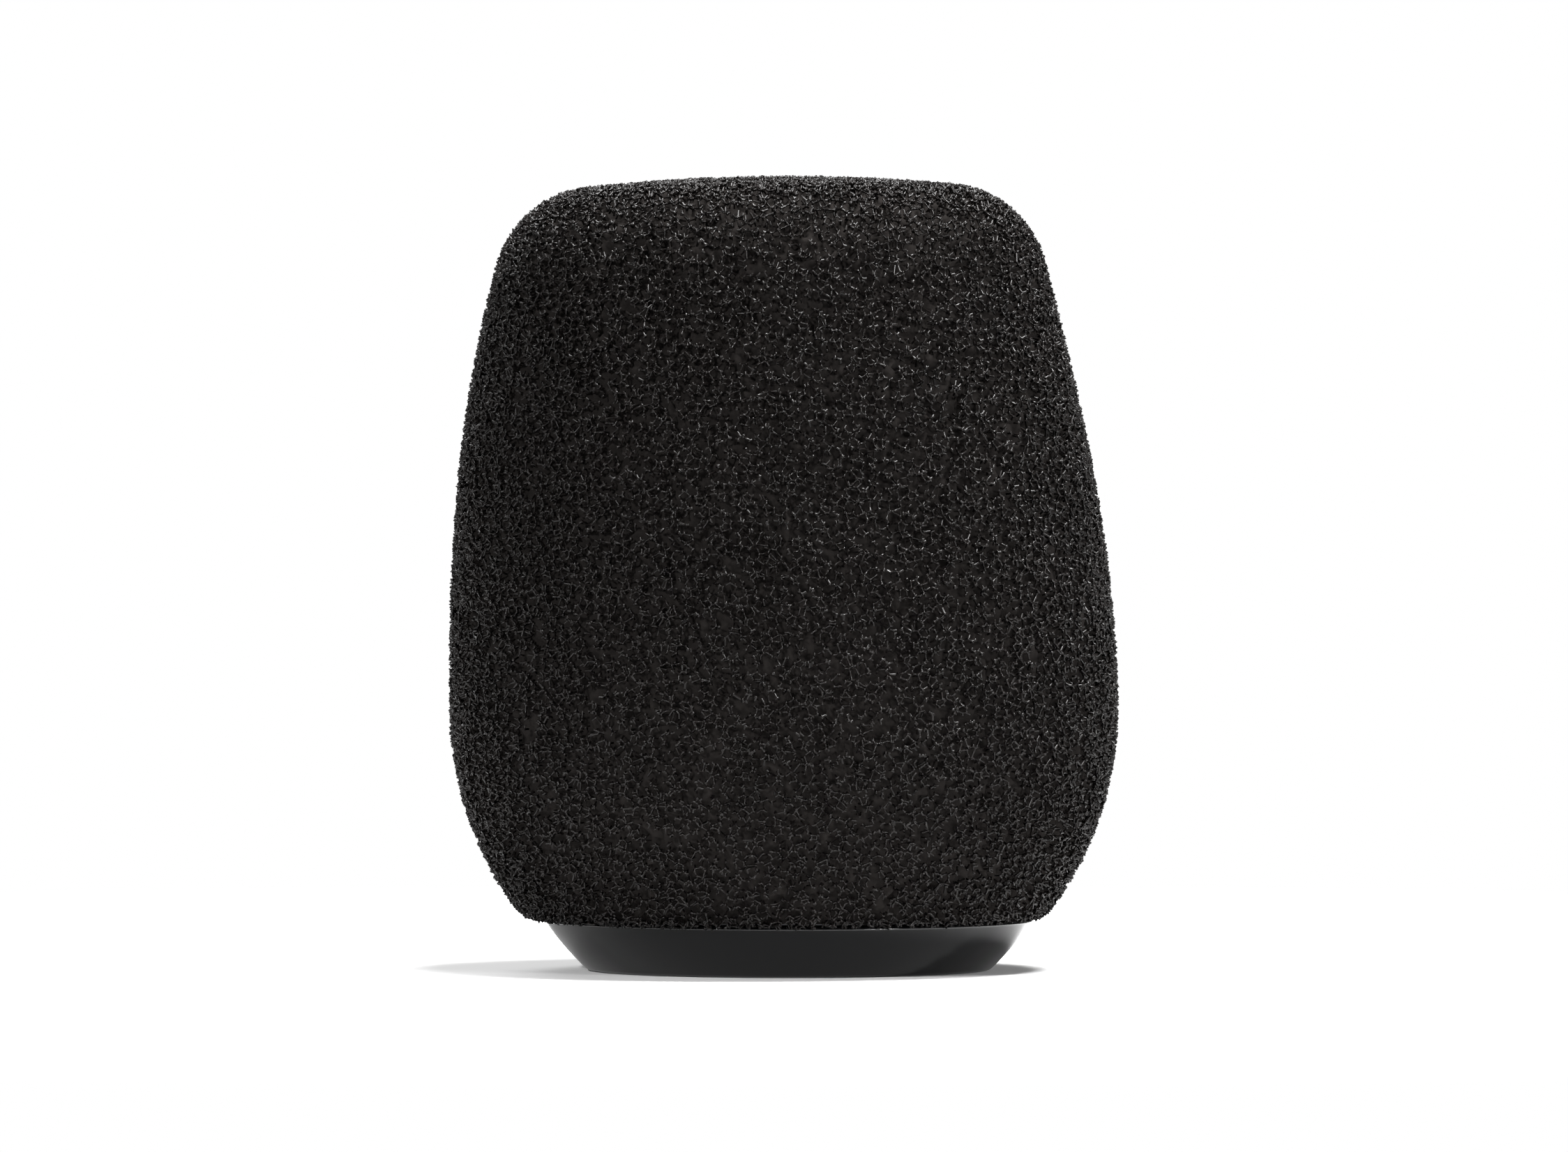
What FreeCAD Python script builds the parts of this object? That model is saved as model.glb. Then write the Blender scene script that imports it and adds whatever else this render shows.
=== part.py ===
import FreeCAD, Part
import math
import os
import Sketcher

# Foam microphone windscreen with a twist-lock base.
# Frame: millimetres, +Z up. The origin is the centre of the collar's bottom rim, and +Z is the
# axis of the microphone. The collar is modelled locked, which is its place at rest.

DOC = FreeCAD.newDocument("windscreen")
SHEET = DOC.addObject("Spreadsheet::Sheet", "Sizes")
FULL_TURN = 360

# Driving sizes: (alias, millimetres unless the note says otherwise, what it is)
SIZES = [
    ("grip_radius", 16.0, "bore of the rubber sleeve, closed on the microphone's head"),
    ("liner_wall", 1.0, "rubber sleeve's wall"),
    ("liner_lip", 0.6, "thickness of the rubber lip that covers the finger tips"),
    ("liner_lip_reach", 0.8, "how far that lip stands out from the sleeve"),
    ("liner_recess", 0.6, "how far the rubber sleeve starts above the floor"),
    ("liner_lead", 0.4, "chamfer at the mouth of the rubber sleeve"),
    ("finger_wall", 1.8, "collet finger's thickness"),
    ("finger_count", 8, "count of collet fingers, and of slits between them"),
    ("slit_width", 1.6, "slit between two fingers"),
    ("slit_land", 0.8, "solid ring left between the slits and the plate's top"),
    ("taper_height", 4.0, "height of the tapered finger tip"),
    ("taper_depth", 1.0, "how much thinner the finger is at its tip"),
    ("guide_wall", 1.6, "wall of the tube that guides the microphone's head"),
    ("guide_height", 9.2, "height of that tube above the base plate"),
    ("head_clearance", 0.6, "room around the microphone's head in the foam"),
    ("collet_flange", 1.4, "thickness of the collet's flange"),
    ("collet_flange_width", 4.2, "how far the flange stands out from the fingers"),
    ("screw_inset", 2.2, "screw circle, outward from the fingers"),
    ("screw_count", 4, "count of screws"),
    ("screw_radius", 1.0, "screw's thread"),
    ("screw_slack", 0.15, "room around the thread in the collet's flange"),
    ("screw_head_radius", 1.8, "screw's pan head"),
    ("screw_head_height", 1.2, "screw's pan head"),
    ("drive_width", 0.5, "slot in the screw's head"),
    ("drive_depth", 0.6, "slot in the screw's head"),
    ("squeeze_gap", 0.25, "room between fingers and squeeze ring"),
    ("squeeze_wall", 1.55, "squeeze ring's wall"),
    ("squeeze_height", 4.5, "squeeze ring's height"),
    ("squeeze_bottom", 1.7, "squeeze ring's bottom when locked"),
    ("squeeze_split", 1.0, "gap that lets the squeeze ring snap into the collar"),
    ("key_width", 1.0, "squeeze ring's keys, which ride in the collet's slits"),
    ("key_gap", 0.3, "room between a key and the rubber sleeve"),
    ("key_height", 3.0, "squeeze ring's keys"),
    ("lug_count", 3, "count of lugs, and of the grooves that they run in"),
    ("lug_height", 1.6, "lug's size along the axis"),
    ("lug_reach", 0.9, "how far a lug stands out"),
    ("lug_span", 8.0, "lug's width, in degrees"),
    ("lug_drop", 0.9, "lug's top below the squeeze ring's top"),
    ("lug_gap", 0.15, "room around a lug in its groove"),
    ("end_gap", 1.0, "room past the lug at each end of its groove, in degrees"),
    ("lock_turn", 60.0, "collar's turn from locked to open, in degrees"),
    ("lock_travel", 1.5, "squeeze ring's travel over that turn"),
    ("slide_gap", 0.2, "room between squeeze ring and hub"),
    ("hub_wall", 2.4, "wall of the collar's hub"),
    ("turn_gap", 0.4, "room between the hub and the base's skirt"),
    ("skirt_wall", 1.5, "wall of the skirt under the base plate"),
    ("skirt_depth", 4.2, "skirt's depth under the base plate"),
    ("snap_size", 1.0, "snap ring's height"),
    ("snap_gap", 0.15, "room around the snap ring in the hub's groove"),
    ("snap_bite", 0.5, "how deep the snap ring sits in hub and skirt"),
    ("snap_floor", 1.5, "skirt left under the snap ring"),
    ("snap_opening", 20.0, "gap in the snap ring, in degrees"),
    ("washer_height", 0.4, "friction washer's thickness"),
    ("washer_gap", 0.1, "room between hub and friction washer"),
    ("washer_inset", 0.1, "friction washer's edges inside the hub's edges"),
    ("collar_height", 6.45, "height of the collar's cone"),
    ("collar_foot", 2.15, "width of the collar's foot outside the hub"),
    ("collar_flare", 5.65, "how much wider the cone is at its top"),
    ("collar_bow", 40.0, "radius of the cone's slightly rounded side"),
    ("collar_wall", 1.6, "cone's wall, measured level"),
    ("collar_floor", 1.6, "thickness of the collar's floor"),
    ("collar_edge", 1.2, "rounding of the collar's bottom edge"),
    ("collar_lip_edge", 0.25, "rounding of the collar's top edge"),
    ("hub_chamfer", 0.4, "chamfer at the mouth of the hub"),
    ("gusset_count", 12, "count of gussets inside the cone"),
    ("gusset_width", 1.0, "gusset's thickness"),
    ("gusset_room", 0.4, "room between a gusset and the skirt"),
    ("gusset_top", 4.8, "top of the gussets above the floor"),
    ("collar_gap", 0.35, "gap between the collar's top and the base plate"),
    ("plate_wall", 2.0, "base plate's thickness"),
    ("plate_inset", 0.2, "base plate's edge inside the collar's top edge"),
    ("plate_bore_room", 0.3, "room between the fingers and the base plate"),
    ("rib_count", 12, "count of ribs under the base plate"),
    ("rib_width", 1.0, "rib's thickness"),
    ("rib_reach", 2.2, "rib's length outside the skirt"),
    ("rib_height", 1.2, "rib's height under the plate"),
    ("film_wall", 0.2, "adhesive film between base plate and foam"),
    ("film_inset", 0.3, "adhesive film's edge inside the base plate's"),
    ("pocket_gap", 0.4, "room for flange and screw heads in the foam"),
    ("foam_wall", 25.5, "foam beside the microphone's head, at its widest"),
    ("foam_height", 100.0, "top of the foam"),
    ("widest_height", 36.0, "height at which the foam is widest"),
    ("foam_lip", 0.7, "foam that hangs outside the base plate"),
    ("foot_arc", 3.0, "rounding of the foam's bottom edge"),
    ("side_arc", 198.0, "radius of the foam's side above its widest"),
    ("shoulder_arc", 10.3, "rounding of the foam's shoulder"),
    ("crown_arc", 240.0, "radius of the foam's nearly flat top"),
    ("foam_lean", 2.1, "degrees that the limp foam leans to -X"),
    ("foam_start", 0.45, "how far to +X of the base's centre the foam's leaning axis starts"),
    ("foam_trim", 3.0, "height that is trimmed off the leaning foam, below and above"),
    ("cavity_top", 76.6, "top of the hollow for the microphone's head"),
]


class Size:
    """A number and the expression over the sheet that gives it."""

    def __init__(self, value, text):
        self.value = value
        self.text = text

    def __add__(self, other):
        return join(self, "+", other, lambda a, b: a + b)

    def __sub__(self, other):
        return join(self, "-", other, lambda a, b: a - b)

    def __mul__(self, other):
        return join(self, "*", other, lambda a, b: a * b)

    def __truediv__(self, other):
        return join(self, "/", other, lambda a, b: a / b)

    def __neg__(self):
        return Size(-self.value, f"(-{self.text})")


def join(left, sign, right, work):
    """Put two sizes, or a size and a plain number, together with one sign."""
    right = right if isinstance(right, Size) else Size(right, repr(right))
    return Size(work(left.value, right.value), f"({left.text} {sign} {right.text})")


def root(size):
    """The square root of a size."""
    return Size(math.sqrt(size.value), f"sqrt({size.text})")


def drawn_in(radius, rise):
    """How far an arc that starts along a line has left that line, after rising so far along it."""
    return radius - root(radius * radius - rise * rise)


def fill_sheet():
    """Write the driving sizes to the sheet, and return each one by its name."""
    sizes = {}
    for row, (alias, value, note) in enumerate(SIZES, start=1):
        SHEET.set(f"A{row}", alias)
        SHEET.set(f"B{row}", str(value))
        SHEET.set(f"C{row}", note)
        SHEET.setAlias(f"B{row}", alias)
        sizes[alias] = Size(value, f"Sizes.{alias}")
    DOC.recompute()
    return sizes


S = fill_sheet()

# Radii, from the microphone outwards
FINGER_IN = S["grip_radius"] + S["liner_wall"]
FINGER_OUT = FINGER_IN + S["finger_wall"]
TIP_OUT = FINGER_OUT - S["taper_depth"]
SQUEEZE_IN = FINGER_OUT + S["squeeze_gap"]
SQUEEZE_OUT = SQUEEZE_IN + S["squeeze_wall"]
HUB_IN = SQUEEZE_OUT + S["slide_gap"]
HUB_OUT = HUB_IN + S["hub_wall"]
SKIRT_IN = HUB_OUT + S["turn_gap"]
SKIRT_OUT = SKIRT_IN + S["skirt_wall"]
COLLAR_FOOT = HUB_OUT + S["collar_foot"]
COLLAR_TOP = COLLAR_FOOT + S["collar_flare"]
PLATE_OUT = COLLAR_TOP - S["plate_inset"]
PLATE_BORE = FINGER_OUT + S["plate_bore_room"]
FLANGE_OUT = FINGER_OUT + S["collet_flange_width"]
POCKET = FLANGE_OUT + S["pocket_gap"]
CAVITY = S["grip_radius"] + S["head_clearance"]
GUIDE_OUT = CAVITY + S["guide_wall"]
FOAM_OUT = CAVITY + S["foam_wall"]
FOAM_FOOT = PLATE_OUT + S["foam_lip"]
LUG_TIP = SQUEEZE_OUT + S["lug_reach"]
SNAP_IN = HUB_OUT - S["snap_bite"]
SNAP_OUT = SKIRT_IN + S["snap_bite"]
SCREW_CIRCLE = FINGER_OUT + S["screw_inset"]

# Heights, from the floor up
TIP_BOTTOM = S["liner_recess"] + S["liner_lip"]
TAPER_TOP = TIP_BOTTOM + S["taper_height"]
PLATE_BOTTOM = S["collar_height"] + S["collar_gap"]
PLATE_TOP = PLATE_BOTTOM + S["plate_wall"]
WASHER_BOTTOM = PLATE_BOTTOM - S["washer_height"]
HUB_TOP = WASHER_BOTTOM - S["washer_gap"]
SKIRT_BOTTOM = PLATE_BOTTOM - S["skirt_depth"]
SNAP_BOTTOM = SKIRT_BOTTOM + S["snap_floor"]
SNAP_TOP = SNAP_BOTTOM + S["snap_size"]
FILM_TOP = PLATE_TOP + S["film_wall"]
SLIT_TOP = PLATE_TOP - S["slit_land"]
FLANGE_TOP = PLATE_TOP + S["collet_flange"]
SCREW_TOP = FLANGE_TOP + S["screw_head_height"]
POCKET_TOP = SCREW_TOP + S["pocket_gap"]
GUIDE_TOP = PLATE_TOP + S["guide_height"]
SQUEEZE_TOP = S["squeeze_bottom"] + S["squeeze_height"]
LUG_TOP = SQUEEZE_TOP - S["lug_drop"]
LUG_BOTTOM = LUG_TOP - S["lug_height"]
LUG_PITCH = S["lock_travel"] * FULL_TURN / S["lock_turn"]


def new_body(name):
    """Start one piece; its Label becomes its file's name."""
    body = DOC.addObject("PartDesign::Body", name)
    body.Label = name
    return body


def new_sketch(body, name, role, spin=None):
    """Start a sketch on one of the body's own planes, turned about +Z by spin in degrees."""
    sketch = body.newObject("Sketcher::SketchObject", f"{body.Name}_{name}")
    plane = [item for item in body.Origin.OriginFeatures if item.Role == role][0]
    sketch.AttachmentSupport = [(plane, "")]
    sketch.MapMode = "FlatFace"
    if spin is not None:
        turn = FreeCAD.Rotation(FreeCAD.Vector(0, 1, 0), spin.value)
        sketch.AttachmentOffset = FreeCAD.Placement(FreeCAD.Vector(), turn)
        sketch.setExpression("AttachmentOffset.Rotation.Angle", spin.text)
    return sketch


def bind(sketch, kind, ends, size):
    """Add one dimension to a sketch and tie it to the sheet."""
    index = sketch.addConstraint(Sketcher.Constraint(kind, *ends, size.value))
    sketch.setExpression(f"Constraints[{index}]", size.text)


def place_point(sketch, edge, end, across, up):
    """Fix a point of a sketch at two sizes; a plain 0 puts it on the axis."""
    for kind, axis, size in (("DistanceX", -2, across), ("DistanceY", -1, up)):
        if isinstance(size, Size):
            bind(sketch, kind, (-1, 1, edge, end), size)
        else:
            sketch.addConstraint(Sketcher.Constraint("PointOnObject", edge, end, axis))


def vector(across, up):
    """A point of a sketch, from two sizes or plain zeros."""
    pair = [size.value if isinstance(size, Size) else size for size in (across, up)]
    return FreeCAD.Vector(pair[0], pair[1], 0)


def outline(body, name, corners, role="XZ_Plane", spin=None, bows=()):
    """Draw a closed outline through corners (across, up), each one tied to the sheet.

    bows maps an edge's number to the radius of the arc that takes its place. The arc
    bulges to the right of the way from that corner to the next one.
    """
    sketch = new_sketch(body, name, role, spin)
    bows = dict(bows)
    for index, corner in enumerate(corners):
        start = vector(*corner)
        stop = vector(*corners[(index + 1) % len(corners)])
        if index in bows:
            sketch.addGeometry(bowed_edge(start, stop, bows[index].value), False)
            bind(sketch, "Radius", (index,), bows[index])
        else:
            sketch.addGeometry(Part.LineSegment(start, stop), False)
    for index, corner in enumerate(corners):
        after = (index + 1) % len(corners)
        sketch.addConstraint(Sketcher.Constraint("Coincident", index, 2, after, 1))
        place_point(sketch, index, 1, *corner)
    return sketch


def bowed_edge(start, stop, radius):
    """The arc of a radius from start, counter-clockwise to stop."""
    chord = stop - start
    middle = (start + stop) * 0.5
    depth = math.sqrt(radius**2 - (chord.Length / 2) ** 2)
    left = FreeCAD.Vector(-chord.y, chord.x, 0).normalize()
    centre = middle + left * depth
    return arc(centre, radius, start, stop)


def arc(centre, radius, start, stop):
    """The arc about a centre from start, counter-clockwise to stop."""
    first = math.atan2(start.y - centre.y, start.x - centre.x)
    last = math.atan2(stop.y - centre.y, stop.x - centre.x)
    circle = Part.Circle(centre, FreeCAD.Vector(0, 0, 1), radius)
    return Part.ArcOfCircle(circle, first, last)


def build(body, feature, sketch, removes):
    """Recompute a feature, and stop if it left the piece as it was."""
    shape = body.Shape
    before = 0.0 if shape.isNull() else shape.Volume
    body.Tip = feature
    DOC.recompute()
    change = feature.Shape.Volume - before
    if (change >= 0) if removes else (change <= 0):
        raise RuntimeError(f"{feature.Name} changed nothing")
    sketch.Visibility = False
    return feature


def turned(body, sketch, removes=False, degrees=None):
    """Turn an outline about +Z, all the way round or by some degrees, to add or to cut."""
    kind = "Groove" if removes else "Revolution"
    feature = body.newObject(f"PartDesign::{kind}", f"{sketch.Name}_{kind.lower()}")
    feature.Profile = sketch
    feature.ReferenceAxis = (sketch, ["V_Axis"])
    feature.Angle = FULL_TURN
    if degrees is not None:
        feature.Angle = degrees.value
        feature.setExpression("Angle", degrees.text)
    return build(body, feature, sketch, removes)


def cut_upward(body, sketch, height=None):
    """Cut a flat outline out of the piece, from the floor up to a height or all the way."""
    feature = body.newObject("PartDesign::Pocket", f"{sketch.Name}_pocket")
    feature.Profile = sketch
    feature.Reversed = True
    if height is None:
        feature.Type = "ThroughAll"
    else:
        feature.Length = height.value
        feature.setExpression("Length", height.text)
    return build(body, feature, sketch, True)


def widened(body, sketch, width, removes=False):
    """Push an upright outline half a width to each side, to add or to cut."""
    kind = "Pocket" if removes else "Pad"
    feature = body.newObject(f"PartDesign::{kind}", f"{sketch.Name}_{kind.lower()}")
    feature.Profile = sketch
    feature.Length = width.value
    feature.setExpression("Length", width.text)
    feature.Midplane = True
    return build(body, feature, sketch, removes)


def wound(body, sketch, degrees, removes=False):
    """Wind an outline down the lugs' helix by some degrees, to add or to cut."""
    kind = "SubtractiveHelix" if removes else "AdditiveHelix"
    feature = body.newObject(f"PartDesign::{kind}", f"{sketch.Name}_helix")
    feature.Profile = sketch
    feature.ReferenceAxis = (sketch, ["V_Axis"])
    feature.Mode = "pitch-turns-angle"
    feature.Pitch = LUG_PITCH.value
    feature.setExpression("Pitch", LUG_PITCH.text)
    feature.Turns = degrees.value / FULL_TURN
    feature.setExpression("Turns", f"{degrees.text} / {FULL_TURN}")
    feature.LeftHanded = True
    feature.Reversed = True
    return build(body, feature, sketch, removes)


def repeated(body, feature, sketch, count, axis="V_Axis"):
    """Repeat a feature evenly round +Z."""
    pattern = body.newObject("PartDesign::PolarPattern", f"{feature.Name}_ring")
    pattern.Originals = [feature]
    pattern.Axis = (sketch, [axis])
    pattern.Angle = FULL_TURN
    pattern.Occurrences = int(count.value)
    pattern.setExpression("Occurrences", count.text)
    body.Tip = pattern
    DOC.recompute()


def rounded(body, radius, chosen):
    """Round the edges for which chosen(edge) is true."""
    base = body.Tip
    edges = base.Shape.Edges
    names = [f"Edge{i}" for i, edge in enumerate(edges, start=1) if chosen(edge)]
    feature = body.newObject("PartDesign::Fillet", f"{body.Name}_rounding")
    feature.Base = (base, names)
    feature.Radius = radius.value
    feature.setExpression("Radius", radius.text)
    body.Tip = feature
    DOC.recompute()


def is_ring(edge, radius, height):
    """Whether an edge is the circle about +Z of a radius at a height."""
    near = 1e-4
    if not isinstance(edge.Curve, Part.Circle):
        return False
    same_height = abs(edge.Curve.Center.z - height.value) < near
    return same_height and abs(edge.Curve.Radius - radius.value) < near


def is_rim(edge, low, high):
    """Whether an edge runs once round the foam, between two heights."""
    box = edge.BoundBox
    between = low.value < box.ZMin and box.ZMax < high.value
    return between and edge.isClosed() and edge.Length > PLATE_OUT.value


def plain_ring(name, inner, outer, bottom, top, degrees=None):
    """A piece that is a ring of rectangular section."""
    body = new_body(name)
    corners = [(inner, bottom), (outer, bottom), (outer, top), (inner, top)]
    turned(body, outline(body, "section", corners), degrees=degrees)
    return body


def drilled(body, radius, count):
    """Drill the screws' holes up through a piece."""
    sketch = new_sketch(body, "holes", "XY_Plane")
    place = vector(SCREW_CIRCLE, 0)
    sketch.addGeometry(Part.Circle(place, FreeCAD.Vector(0, 0, 1), radius.value), False)
    bind(sketch, "Radius", (0,), radius)
    place_point(sketch, 0, 3, SCREW_CIRCLE, 0)
    hole = cut_upward(body, sketch)
    repeated(body, hole, sketch, count, axis="N_Axis")


# --- Foam ---------------------------------------------------------------------------------


def belly_arc():
    """Radius of the foam's side below its widest: upright there, and above the plate's edge at the foot."""
    across = FOAM_OUT - FOAM_FOOT
    up = S["widest_height"] - PLATE_BOTTOM - S["foot_arc"]
    room = across - S["foot_arc"]
    return (across * across + up * up - S["foot_arc"] * S["foot_arc"]) / (room * 2)


def leaning_form(body):
    """The foam before it is trimmed: belly and side, turned about an axis that leans to -X.

    Its heights count from the base plate's underside, where that axis starts.
    """
    floor = -S["foam_trim"]
    waist = S["widest_height"] - PLATE_BOTTOM
    lid = S["foam_height"] - PLATE_BOTTOM + S["foam_trim"]
    belly = belly_arc()
    corners = [
        (0, floor),
        (FOAM_OUT - drawn_in(belly, waist - floor), floor),
        (FOAM_OUT, waist),
        (FOAM_OUT - drawn_in(S["side_arc"], lid - waist), lid),
        (0, lid),
    ]
    sketch = outline(body, "form", corners, bows={1: belly, 2: S["side_arc"]})
    turn = FreeCAD.Rotation(FreeCAD.Vector(0, 0, 1), S["foam_lean"].value)
    sketch.AttachmentOffset = FreeCAD.Placement(vector(S["foam_start"], PLATE_BOTTOM), turn)
    sketch.setExpression("AttachmentOffset.Rotation.Angle", S["foam_lean"].text)
    sketch.setExpression("AttachmentOffset.Base.x", S["foam_start"].text)
    sketch.setExpression("AttachmentOffset.Base.y", PLATE_BOTTOM.text)
    turned(body, sketch)


def foam_cover():
    """Open-cell foam, with the hollow for the microphone's head and a seat for the base.

    It leans, but it is trimmed level at the foot and by the crown's arc at the top.
    """
    body = new_body("foam_cover")
    leaning_form(body)
    under = PLATE_BOTTOM - S["foam_trim"] * 2
    trim = [(0, under), (FOAM_OUT, under), (FOAM_OUT, PLATE_BOTTOM), (0, PLATE_BOTTOM)]
    turned(body, outline(body, "trim", trim), removes=True)
    over = S["foam_height"] + S["foam_trim"] * 2
    brim = S["foam_height"] - drawn_in(S["crown_arc"], FOAM_OUT)
    crown = [(0, over), (FOAM_OUT, over), (FOAM_OUT, brim), (0, S["foam_height"])]
    turned(body, outline(body, "crown", crown, bows={2: S["crown_arc"]}), removes=True)
    rounded(body, S["foot_arc"], lambda edge: is_rim(edge, under, S["widest_height"]))
    rounded(body, S["shoulder_arc"], lambda edge: is_rim(edge, S["cavity_top"], over))
    hollow = [
        (0, PLATE_BOTTOM),
        (PLATE_OUT, PLATE_BOTTOM),
        (PLATE_OUT, FILM_TOP),
        (POCKET, FILM_TOP),
        (POCKET, POCKET_TOP),
        (GUIDE_OUT, POCKET_TOP),
        (GUIDE_OUT, GUIDE_TOP),
        (CAVITY, GUIDE_TOP),
        (CAVITY, S["cavity_top"] - CAVITY),
        (0, S["cavity_top"]),
    ]
    dome = len(hollow) - 2
    turned(body, outline(body, "hollow", hollow, bows={dome: CAVITY}), removes=True)


def foam_bond_film():
    """Adhesive film that holds the foam on the base plate."""
    edge = PLATE_OUT - S["film_inset"]
    plain_ring("foam_bond_film", POCKET, edge, PLATE_TOP, FILM_TOP)


# --- Base: plate, collet, rubber sleeve, screws ---------------------------------------------


def base_plate():
    """Plate under the foam, with the skirt that the collar turns round."""
    body = new_body("base_plate")
    section = [
        (PLATE_BORE, PLATE_BOTTOM),
        (SKIRT_IN, PLATE_BOTTOM),
        (SKIRT_IN, SNAP_TOP),
        (SNAP_OUT, SNAP_TOP),
        (SNAP_OUT, SNAP_BOTTOM),
        (SKIRT_IN, SNAP_BOTTOM),
        (SKIRT_IN, SKIRT_BOTTOM),
        (SKIRT_OUT, SKIRT_BOTTOM),
        (SKIRT_OUT, PLATE_BOTTOM),
        (PLATE_OUT, PLATE_BOTTOM),
        (PLATE_OUT, PLATE_TOP),
        (PLATE_BORE, PLATE_TOP),
    ]
    turned(body, outline(body, "section", section))
    drilled(body, S["screw_radius"], S["screw_count"])
    in_skirt = SKIRT_OUT - S["skirt_wall"] / 2
    in_plate = PLATE_BOTTOM + S["plate_wall"] / 2
    rib_end = SKIRT_OUT + S["rib_reach"]
    rib_foot = PLATE_BOTTOM - S["rib_height"]
    rib = [
        (in_skirt, rib_foot),
        (SKIRT_OUT, rib_foot),
        (rib_end, PLATE_BOTTOM),
        (rib_end, in_plate),
        (in_skirt, in_plate),
    ]
    sketch = outline(body, "rib", rib)
    repeated(body, widened(body, sketch, S["rib_width"]), sketch, S["rib_count"])


def collet_sleeve():
    """Guide tube, flange and the slit fingers that close on the microphone's head."""
    body = new_body("collet_sleeve")
    section = [
        (FINGER_IN, TIP_BOTTOM),
        (TIP_OUT, TIP_BOTTOM),
        (FINGER_OUT, TAPER_TOP),
        (FINGER_OUT, PLATE_TOP),
        (FLANGE_OUT, PLATE_TOP),
        (FLANGE_OUT, FLANGE_TOP),
        (GUIDE_OUT, FLANGE_TOP),
        (GUIDE_OUT, GUIDE_TOP),
        (CAVITY, GUIDE_TOP),
        (CAVITY, SLIT_TOP),
        (FINGER_IN, SLIT_TOP),
    ]
    turned(body, outline(body, "section", section))
    side = S["slit_width"] / 2
    slit = [(S["grip_radius"], -side), (FLANGE_OUT, -side), (FLANGE_OUT, side), (S["grip_radius"], side)]
    sketch = outline(body, "slit", slit, role="XY_Plane")
    repeated(body, cut_upward(body, sketch, SLIT_TOP), sketch, S["finger_count"], axis="N_Axis")
    drilled(body, S["screw_radius"] + S["screw_slack"], S["screw_count"])


def grip_liner():
    """Rubber sleeve inside the fingers, with a lip under their tips."""
    body = new_body("grip_liner")
    lip = FINGER_IN + S["liner_lip_reach"]
    section = [
        (S["grip_radius"] + S["liner_lead"], S["liner_recess"]),
        (lip, S["liner_recess"]),
        (lip, TIP_BOTTOM),
        (FINGER_IN, TIP_BOTTOM),
        (FINGER_IN, SLIT_TOP),
        (S["grip_radius"], SLIT_TOP),
        (S["grip_radius"], S["liner_recess"] + S["liner_lead"]),
    ]
    turned(body, outline(body, "section", section))


def cylinder(name, radius, bottom, top):
    """An upright cylinder between two heights, tied to the sheet."""
    shape = DOC.addObject("Part::Cylinder", name)
    shape.setExpression("Radius", radius.text)
    shape.setExpression("Height", (top - bottom).text)
    shape.setExpression("Placement.Base.z", bottom.text)
    return shape


def screw(index):
    """One pan-head screw with a slotted head, on the screw circle."""
    shank = cylinder(f"screw_shank_{index}", S["screw_radius"], PLATE_BOTTOM, FLANGE_TOP)
    head = cylinder(f"screw_head_{index}", S["screw_head_radius"], FLANGE_TOP, SCREW_TOP)
    whole = DOC.addObject("Part::Fuse", f"screw_blank_{index}")
    whole.Base = shank
    whole.Tool = head
    slot = DOC.addObject("Part::Box", f"screw_slot_{index}")
    slot.setExpression("Length", (S["screw_head_radius"] * 4).text)
    slot.setExpression("Width", S["drive_width"].text)
    slot.setExpression("Height", S["drive_depth"].text)
    slot.setExpression("Placement.Base.x", (-(S["screw_head_radius"] * 2)).text)
    slot.setExpression("Placement.Base.y", (-(S["drive_width"] / 2)).text)
    slot.setExpression("Placement.Base.z", (SCREW_TOP - S["drive_depth"]).text)
    cut = DOC.addObject("Part::Cut", f"screw_{index}")
    cut.Base = whole
    cut.Tool = slot
    bearing = f"({index} * {FULL_TURN} / {S['screw_count'].text})"
    cut.setExpression("Placement.Base.x", f"{SCREW_CIRCLE.text} * cos({bearing})")
    cut.setExpression("Placement.Base.y", f"{SCREW_CIRCLE.text} * sin({bearing})")
    return cut


def collet_screws():
    """The screws that hold the collet down on the base plate."""
    group = DOC.addObject("Part::Compound", "collet_screws")
    group.Label = "collet_screws"
    group.Links = [screw(index) for index in range(int(S["screw_count"].value))]
    DOC.recompute()


# --- Squeeze ring ---------------------------------------------------------------------------


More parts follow.
